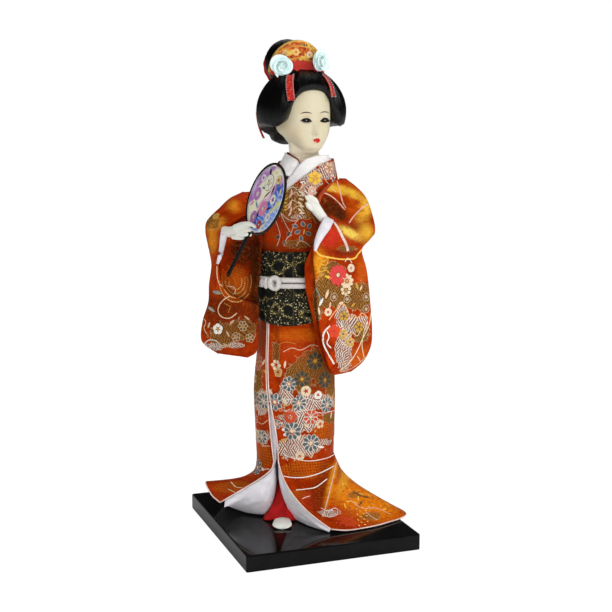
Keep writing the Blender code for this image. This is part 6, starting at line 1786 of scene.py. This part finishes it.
knotCentre = Vector((-4.9, 8.6, 291.9))


def knotPoint(a, t, radius=14.0, half=7.5, power=0.8):
    spread = max(1 - t * t, 0) ** (0.5 * power)
    swirl = 0.18 * rough(degrees(a) / 5, t * 1.5, 2.0)
    x, y = turned((radius * spread + swirl) * sin(a), half * t, 10)
    return knotCentre + Vector((x, y, (radius * spread + swirl) * cos(a)))


# How far a point is from the wig's middle against the wig's own reach there
def aboveWig(point):
    away = point - Vector((headX, headY, wigZ))
    x, y = turned(away.x, away.y, -headYaw)
    azimuth = atan2(x, -y) % (2 * pi)
    elevation = atan2(away.z, sqrt(x * x + y * y))
    return away.length - wigReach(azimuth, elevation)


# The point, moved out where it would lie in the wig
def rested(point, clearance=0.2):
    sunk = clearance - aboveWig(point)
    if sunk <= 0:
        return point
    middle = Vector((headX, headY, wigZ))
    return point + (point - middle).normalized() * sunk


bunRings = [[rested(knotPoint(2 * pi * j / 120, t)) for j in range(120)] for t in [sin(pi / 2
    * (-0.96 + 1.92 * i / 28)) for i in range(29)]]
bunUvs = [(i * 2.0, j * 0.8) for i in range(29) for j in range(120)]
solidOf("bun_hair", bunRings, (hair,), replaced=["top_knot"],
    uvs=[(b[0] * 1.6, b[1]) for b in bunUvs])
clothRings = []
for t in fractions(14):
    spread = 1 - t ** 2.2 * 0.55
    ring = []
    for j in range(72):
        a = 2 * pi * j / 72
        gather = 0.35 * sin(16 * a + 2 * t) * (0.4 + t) + 0.4 * rough(sin(a) * 3, cos(a) * 3, t * 3)
        x, y = turned((13.4 * spread + gather) * sin(a), 8.0 + 2.2 * t, 10)
        ring.append(rested(Vector((knotCentre.x + x - 0.4, knotCentre.y + y,
            knotCentre.z + (13.4 * spread + gather) * cos(a) - 1.6))))
    clothRings.append(ring)
bunCloth = solidOf("bun_cloth", clothRings, (redCloth,), replaced=["top_knot_cloth"],
    uvs=[(i * 2.0, j * 0.8) for i in range(15) for j in range(72)])

print("stage: comb, roses and ribbons")

combFoot = Vector((1.2, -3.5, 287.0))


# On the comb's front: t across from -1 to 1, up from 0 to 1
def combPoint(t, up, out=0.0):
    top = 18.6 * sqrt(max(1 - t * t, 0)) + 1.2
    bow = 3.4 * (1 - t * t)
    x, y = turned(t * 17.0, 1.2 * up - bow - out, 16.0)
    return Vector((combFoot.x + x, combFoot.y + y, combFoot.z + up * top - 3.0))


combRings, combUvs = [], []
for i in range(61):
    t = sin(pi / 2 * (-1 + i / 30))
    ring = []
    outline = [(up, 0.0) for up in (0.0, 0.12, 0.25, 0.4, 0.55, 0.7, 0.85, 0.96)] + [(1.0, -0.5), (1.0, -1.9)]
    outline += [(up, -2.4) for up in (0.96, 0.8, 0.6, 0.4, 0.2, 0.0)]
    for up, out in outline:
        puff = 0.45 * sin(pi * up) if out == 0.0 else 0.0
        ring.append(rested(combPoint(t, up, out + puff), 0.1))
        combUvs.append((t * 17.0 + (60 if out < -1 else 0), 20 * (1 - up)))
    combRings.append(ring)
comb = solidOf("comb_cloth", combRings, (combCloth,), replaced=["crest_comb"], uvs=combUvs)
arch = [combPoint(sin(pi / 2 * (-0.97 + 1.94 * i / 60)), 1.0, -0.9) + Vector((0, 0, 0.15)) for i in range(61)]
innerArch = [combPoint(sin(pi / 2 * (-0.9 + 1.8 * i / 60)) * 0.92, 0.86, 0.15) for i in range(61)]
lowArch = [combPoint(-0.85 + 1.7 * i / 60, 0.34 + 0.16 * (1 - (-0.85 + 1.7 * i / 60) ** 2), 0.4) for i in range(61)]
tubes("comb_trim", [tubeMesh(arch, 0.75, 8), tubeMesh(innerArch, 0.32, 6), tubeMesh(lowArch, 0.35, 6)], (goldTrim,))
work = Embroidery(surfaceOf(comb))
for t, up, r, petals, fill, edge, centre in ((-0.1, 0.68, 2.2, 6, yellow, cream, red),
        (0.4, 0.66, 2.0, 5, cream, None, red), (-0.5, 0.7, 1.9, 5, gold, cream, dark),
        (0.12, 0.9, 1.2, 5, dark, gold, yellow), (0.7, 0.62, 1.5, 5, yellow, None, red),
        (-0.78, 0.62, 1.4, 5, cream, None, red)):
    spot = onStand(combPoint(t, up, 0.6))
    normal = stand.to_3x3() @ Vector((sin(radians(16)), -cos(radians(16)), 0.05))
    right = stand.to_3x3() @ Vector((cos(radians(16)), sin(radians(16)), 0))
    work.flower((spot, right, Vector((0, 0, 1))), r, petals, fill, edge, centre, 40 + 200 * up)
work.finish("comb_motifs")


# A ribbon wound round itself and pinched into petals that open outwards
def rose(name, centre, yaw, pitch, turns, radius, height, petals, replaced):
    tilt = Matrix.Rotation(radians(yaw), 3, "Z") @ Matrix.Rotation(radians(pitch), 3, "X")
    grid = [[] for _ in range(8)]
    samples = int(turns * 64)
    for i in range(samples + 1):
        t = i / samples
        a = 2 * pi * turns * t
        opening = t ** 0.8
        bulge = sin(pi * (turns * t * petals % 1.0)) ** 0.7
        for k, row in enumerate(grid):
            s = k / 7
            spread = between(0.5, 1.0, s ** 1.3) * between(1.0, between(0.76, 1.08, bulge), s)
            r = 0.4 + (radius - 1.3) * opening * spread
            roll = s ** 3 * opening * bulge
            lift = between(height * 0.42, -height * (0.5 - 0.3 * opening ** 2),
                s) + 1.3 * roll + 1.1 * (1 - bulge) * s * opening
            row.append(Vector(centre) + tilt @ Vector(((r + 1.1 * roll) * cos(a), lift, (r + 1.1 * roll) * sin(a))))
    return cloth(name, grid, 0.28, (rosePale,), replaced=[replaced])


roses = {
    "right": ((-7.9, -15.0, 289.0), 12, 8, 2.7, 7.6, 5.4, 2.3),
    "left": ((15.9, -6.6, 292.0), 52, 0, 2.6, 7.6, 5.4, 2.4),
}
leaves = []
for name, (centre, yaw, pitch, *shape) in roses.items():
    rose("rose_ribbon_" + name, centre, yaw, pitch, *shape, "rose_" + name)
    tilt = Matrix.Rotation(radians(yaw), 3, "Z") @ Matrix.Rotation(radians(pitch), 3, "X")
    ring = [Vector(centre) + tilt @ Vector((5.4 * cos(2 * pi * j / 24), 1.9, 5.4 * sin(2 * pi * j / 24)))
        for j in range(25)]
    leaves.append(tubeMesh(ring, 0.6, 6))
    leaves.append(tubeMesh([Vector(centre) + tilt @ Vector((0, y, 0)) for y in (1.7, 2.0, 2.3)], (4.6, 5.0, 4.6), 24))
tubes("rose_backs", leaves, (rosePale,))


def ribbonGrid(top, bottom, rows=30, columns=6):
    grid = []
    for t in fractions(rows):
        azimuth, elevation = radians(between(top[0], bottom[0], t)), radians(between(top[1], bottom[1], t))
        width = 4.3 / (wigReach(azimuth % (2 * pi), elevation) * cos(elevation))
        reach = max((wigReach((azimuth + c * width) % (2 * pi), elevation) for c in (-0.5, -0.25, 0.0, 0.25, 0.5)))
        row = []
        for s in fractions(columns):
            here = (azimuth + (s - 0.5) * width) % (2 * pi)
            row.append(onWig(here, elevation, reach + 1.2))
        grid.append(row)
    return grid


beads = []    # silver beads down both edges
for name, top, bottom, replaced in (("ribbon_right", (-50, 52), (-42, 16), "hair_ribbon_right"),
        ("ribbon_left", (40, 56), (31, 22), "hair_ribbon_left"), ("ribbon_nape", (-125, 0), (-126, -34),
        "nape_ribbon")):
    grid = ribbonGrid(top, bottom)
    cloth(name, grid, 0.5, (glitter,), replaced=[replaced])
    if name == "ribbon_nape":
        continue
    for row in grid[::3]:
        for end, other in ((row[0], row[1]), (row[-1], row[-2])):
            spot = end + (other - end) * 0.4
            away = (spot - Vector((headX, headY, wigZ))).normalized()
            beads.append(tubeMesh([spot + away * 0.1, spot + away * 0.4], 0.48, 6))
tubes("ribbon_beads", beads, (silver,))

print("stage: fan and hands")

viewTilt = radians(9.1)
fanCentre = Vector((-17.3, -36.0, 211.5))


def fanAxis(side, depth, up):
    return Vector((side, depth * cos(viewTilt) + up * sin(viewTilt), up * cos(viewTilt) - depth * sin(viewTilt)))


fanUp = fanAxis(0.438, -0.338, 0.833).normalized()
fanSide = fanAxis(0.344, -0.789, -0.51)
fanSide = (fanSide - fanUp * fanSide.dot(fanUp)).normalized()
fanFace = fanSide.cross(fanUp).normalized()


def fanPoint(side, up, out=0.0):
    return fanCentre + fanSide * side + fanUp * up + fanFace * out


leafRings, leafUvs = [], []
for radius, out in [(r, -0.4) for r in (0.5, 6, 12, 18, 20.2)] + [(r, 0.4) for r in (20.2, 18, 12, 6, 0.5)]:
    ring = []
    for j in range(96):
        a = 2 * pi * j / 96
        ring.append(fanPoint(radius * cos(a), radius * sin(a), out))
        leafUvs.append((radius * cos(a) * (1 if out > 0 else -1), radius * sin(a)))
    leafRings.append(ring)
leafPiece = solidOf("fan_sheet", leafRings, (fanPaper,), replaced=["fan_leaf"], uvs=leafUvs)
rimPath = [fanPoint(21.4 * cos(2 * pi * j / 120), 21.4 * sin(2 * pi * j / 120)) for j in range(121)]
tubes("fan_hoop", [tubeMesh(rimPath, 0.75, 10)], (fanBlack,), replaced=["fan_rim"])
handlePath = [fanPoint(0, up) for up in (-22.6, -24, -28, -32, -36, -38, -40, -44, -48, -51, -53)]
tubes("fan_stick", [tubeMesh(handlePath, [1.7, 1.85, 1.8, 1.85, 1.8, 1.95, 1.8, 1.85, 1.8, 1.8, 1.65], 14, 0.48,
    fanFace)], (fanBlack,), replaced=["fan_handle"])
plum, deepPink, ink, sky, straw = ((0.5, 0.2, 0.55), (0.78, 0.22, 0.42), (0.012, 0.01, 0.012), (0.12, 0.24, 0.72),
    (0.85, 0.74, 0.3))
fanPlan = {
    "flowers": ((-4, 9, 5.2, 5, (0.9, 0.85, 0.72), ink, straw), (-11, -2, 4.4, 5, plum, (0.8, 0.7, 0.85), straw),
        (3, -5, 5.0, 5, deepPink, (0.9, 0.8, 0.85), straw), (-3, -14, 4.0, 5, plum, ink, straw),
        (9, 4, 3.4, 5, (0.88, 0.84, 0.75), sky, red), (5, 15, 3.0, 5, straw, ink, red),
        (13, -6, 2.8, 5, (0.9, 0.86, 0.8), sky, deepPink), (-13, 8, 2.6, 5, (0.85, 0.8, 0.9), plum, red),
        (7, -14, 2.8, 5, red, ink, cream)),
    "leaves": ((0, 3, 8, 1.1, 60, ink), (-8, 14, 6, 2.0, 140, ink), (-7, 4, 5, 1.6, 20, (0.1, 0.3, 0.3)),
        (4, 8, 6, 1.6, 100, ink), (-6, -7, 6, 1.6, 160, (0.1, 0.3, 0.3)), (9, -2, 5, 1.4, 40, ink),
        (0, -10, 5, 1.4, 120, ink), (13, 11, 5, 1.8, 110, straw), (15, 2, 5, 1.8, 80, straw),
        (-1, 17, 4, 1.3, 10, straw), (11, -11, 5, 1.3, 60, sky), (-12, -9, 5, 1.5, 60, deepPink),
        (-9, -14, 4, 1.5, 30, (0.88, 0.84, 0.75)), (3, -18, 4, 1.2, 10, (0.88, 0.84, 0.75))),
}
for side in (1, -1):
    work = Embroidery(surfaceOf(leafPiece))

    def fanFrame(a, b, side=side):
        spot = onStand(fanPoint(a * side, b, 0.5 * side))
        return spot, stand.to_3x3() @ (fanSide * side), stand.to_3x3() @ fanUp
    for a, b, r, petals, fill, edge, centre in fanPlan["flowers"]:
        work.flower(fanFrame(a, b), r, petals, fill, edge, centre, 30 * a + 11 * b)
    for a, b, length, width, angle, fill in fanPlan["leaves"]:
        work.leaf(fanFrame(a, b), length, width, angle, fill)
    work.finish("fan_motifs_front" if side > 0 else "fan_motifs_back")


# The point seen at a pixel whose depth in the doll's frame is y millimetres
def onPixel(u, v, y):
    back = stand.inverted()
    origin, way = pixelRay(u, v)
    a, b = back @ origin / mm, back @ (origin + way) / mm
    t = (y - a.y) / (b.y - a.y)
    return a.lerp(b, t)


def limb(spots, radii, flatten=1.0, through=None, count=14):
    path = [onPixel(*s) for s in spots]
    fine = [curveThrough(path, t) for t in fractions(10)]
    fineRadii = [smoothStation([(i / (len(radii) - 1), r) for i, r in enumerate(radii)], t)[0] for t in fractions(10)]
    return tubeMesh(fine, fineRadii, count, flatten, through)


hands = {
    "right": [([(224, 231, -14.5), (231, 232, -20), (239, 230, -26)], [3.0, 3.4, 3.6], 0.72, (0, 1, 0.1)),
        ([(236, 229, -26), (243, 226, -30), (249, 225, -32)], [3.0, 2.6, 2.0], 0.8, (0, 1, 0.1)),
        ([(239, 228, -28), (245, 224, -33), (251, 224.5, -36), (256, 227, -37)], [1.7, 1.5, 1.3, 0.9]),
        ([(238, 232, -27), (245, 230, -31.5), (251, 230, -33.5), (255, 231.5, -33)], [1.8, 1.5, 1.25, 0.9]),
        ([(237, 235, -26), (243, 234.5, -30), (248, 234.5, -31.5), (251, 235, -31)], [1.7, 1.4, 1.2, 0.9]),
        ([(233, 237, -24), (240, 238, -27.5), (246, 238, -28.5)], [1.5, 1.25, 0.9])],
    "left": [([(324.5, 220, -25), (319.5, 213.5, -27.3), (315, 207, -29)], [2.7, 3.1, 3.3], 0.7, (0, 1, 0.1)),
        ([(314.5, 207, -29), (311, 202.5, -30.5)], [3.1, 2.7], 0.75, (0, 1, 0.1)),
        ([(311, 203, -30.6), (308.3, 199.2, -32), (305.6, 196.2, -33)], [1.5, 1.35, 0.8]),
        ([(313, 202, -30.8), (310.6, 198, -32.2), (308.4, 195.2, -33)], [1.5, 1.35, 0.85]),
        ([(315.3, 202.4, -30.6), (313.4, 198.6, -31.8), (311.4, 196, -32.4)], [1.45, 1.3, 0.85]),
        ([(317.3, 204, -30), (316.0, 200.4, -31), (314.6, 198, -31.5)], [1.35, 1.2, 0.8]),
        ([(312, 209, -29.6), (308.5, 206.5, -31.4), (306.3, 203, -32.2)], [1.5, 1.3, 0.85])],
}
for name, limbs in hands.items():
    fused("hand_skin_" + name, [limb(*row) for row in limbs], 0.3, (handWhite,), replaced=["hand_" + name],
        smoothing=3)


def footRings():
    sections = [(0.0, 0.4, 0.4), (0.03, 0.66, 0.62), (0.08, 0.86, 0.8), (0.18, 1.0, 0.95), (0.3, 0.98, 1.0),
        (0.45, 0.92, 1.0), (0.6, 0.84, 1.0), (0.75, 0.75, 1.0), (0.88, 0.66, 0.9), (0.95, 0.58, 0.78),
        (1.0, 0.35, 0.5)]
    rings = []
    for back, wide, tall in sections:
        ring = []
        for j in range(40):
            a = 2 * pi * j / 40
            up = 2.8 * tall * (0.5 - 0.5 * cos(a)) ** 0.8
            side = 6.0 * wide * sin(a)
            split = 1.0 * hump(side, 1.4, 0.7) * ease((0.2 - back) / 0.15) * (1 if up > 1 else 0)
            ring.append(Vector((-8.3 + side, -39.6 + back * 20.0 + split, baseTop + gap + up - split * 0.6)))
        rings.append(ring)
    return rings


solidOf("foot_skin", footRings(), (handWhite,), replaced=["foot"])

# Hidden padded core, its wadding pressed uneven
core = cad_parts["padded_body"].copy()
core.data = core.data.copy()
scene.collection.objects.link(core)
remesh = core.modifiers.new("dense", "REMESH")
remesh.mode = "VOXEL"
remesh.voxel_size = 1.6 * mm
coreMesh = bpy.data.meshes.new_from_object(core.evaluated_get(bpy.context.evaluated_depsgraph_get()))
coreMesh.transform(core.matrix_world)
bpy.data.objects.remove(core)
for vertex in coreMesh.vertices:
    p = vertex.co * 1000
    dent = 0.35 + 0.35 * rough(p.x / 7, p.y / 7, p.z / 9) + 0.2 * rough(p.x / 3, p.y / 3, p.z / 3)
    vertex.co -= vertex.normal * max(dent, 0.05) * mm
coreMesh.shade_smooth()
coreMesh.materials.clear()
coreMesh.materials.append(padding)
corePiece = bpy.data.objects.new("core_padding", coreMesh)
scene.collection.objects.link(corePiece)
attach(corePiece, "root")
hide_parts("padded_body")

print("stage: floor and light")

floorMesh = bpy.data.meshes.new("floor")
floorMesh.from_pydata([(-4, -4, 0), (4, -4, 0), (4, 4, 0), (-4, 4, 0)], [], [(0, 1, 2, 3)])
floor = bpy.data.objects.new("floor", floorMesh)
scene.collection.objects.link(floor)
floorLook, floorTree, floorShader = material("pale_floor", {"Base Color": (0.86, 0.86, 0.86), "Roughness": 0.9})
floorShader.inputs["Specular IOR Level"].default_value = 0.1
seen = outOf(node(floorTree, "LightPath"), "Is Camera Ray")
glow = outOf(node(floorTree, "Emission", {"Color": (1, 1, 1, 1), "Strength": 1.12}))
blend = node(floorTree, "MixShader", {0: seen * 0.85, 1: outOf(floorShader), 2: glow})
connect(outOf(blend), floorTree.nodes["Material Output"].inputs["Surface"])
floorMesh.materials.append(floorLook)

world = bpy.data.worlds.new("world")
scene.world = world
world.use_nodes = True
worldTree = world.node_tree
background = worldTree.nodes["Background"]
paths = node(worldTree, "LightPath")
around = mix(outOf(paths, "Is Glossy Ray"), (0.6, 0.6, 0.6), (0.02, 0.02, 0.02))
around = mix(outOf(paths, "Is Camera Ray"), around, (1, 1, 1))
connect(around, background.inputs["Color"])


def softLight(name, azimuth, elevation, distance, size, power, shine=True):
    data = bpy.data.lights.new(name, "AREA")
    data.size = size
    data.energy = power
    light = bpy.data.objects.new(name, data)
    a, e = radians(azimuth), radians(elevation)
    back = Vector((sin(a) * cos(e), -cos(a) * cos(e), sin(e)))
    light.location = Vector((0, 0, 0.15)) + back * distance
    light.rotation_euler = (-back).to_track_quat("-Z", "Y").to_euler()
    light.visible_glossy = shine
    light.visible_camera = False
    scene.collection.objects.link(light)


lights = {
    "key": (32, 34, 1.0, 0.35, 3.6),
    "front": (-14, -3, 1.2, 0.7, 3.6, False),
    "low": (6, -6, 0.75, 0.25, 1.2, False),
    "fill": (-75, 22, 1.1, 0.8, 1.2, False),
    "top": (160, 60, 1.1, 0.6, 2.5),
}
for name, settings in lights.items():
    softLight(name, *settings)

print("stage: finish")
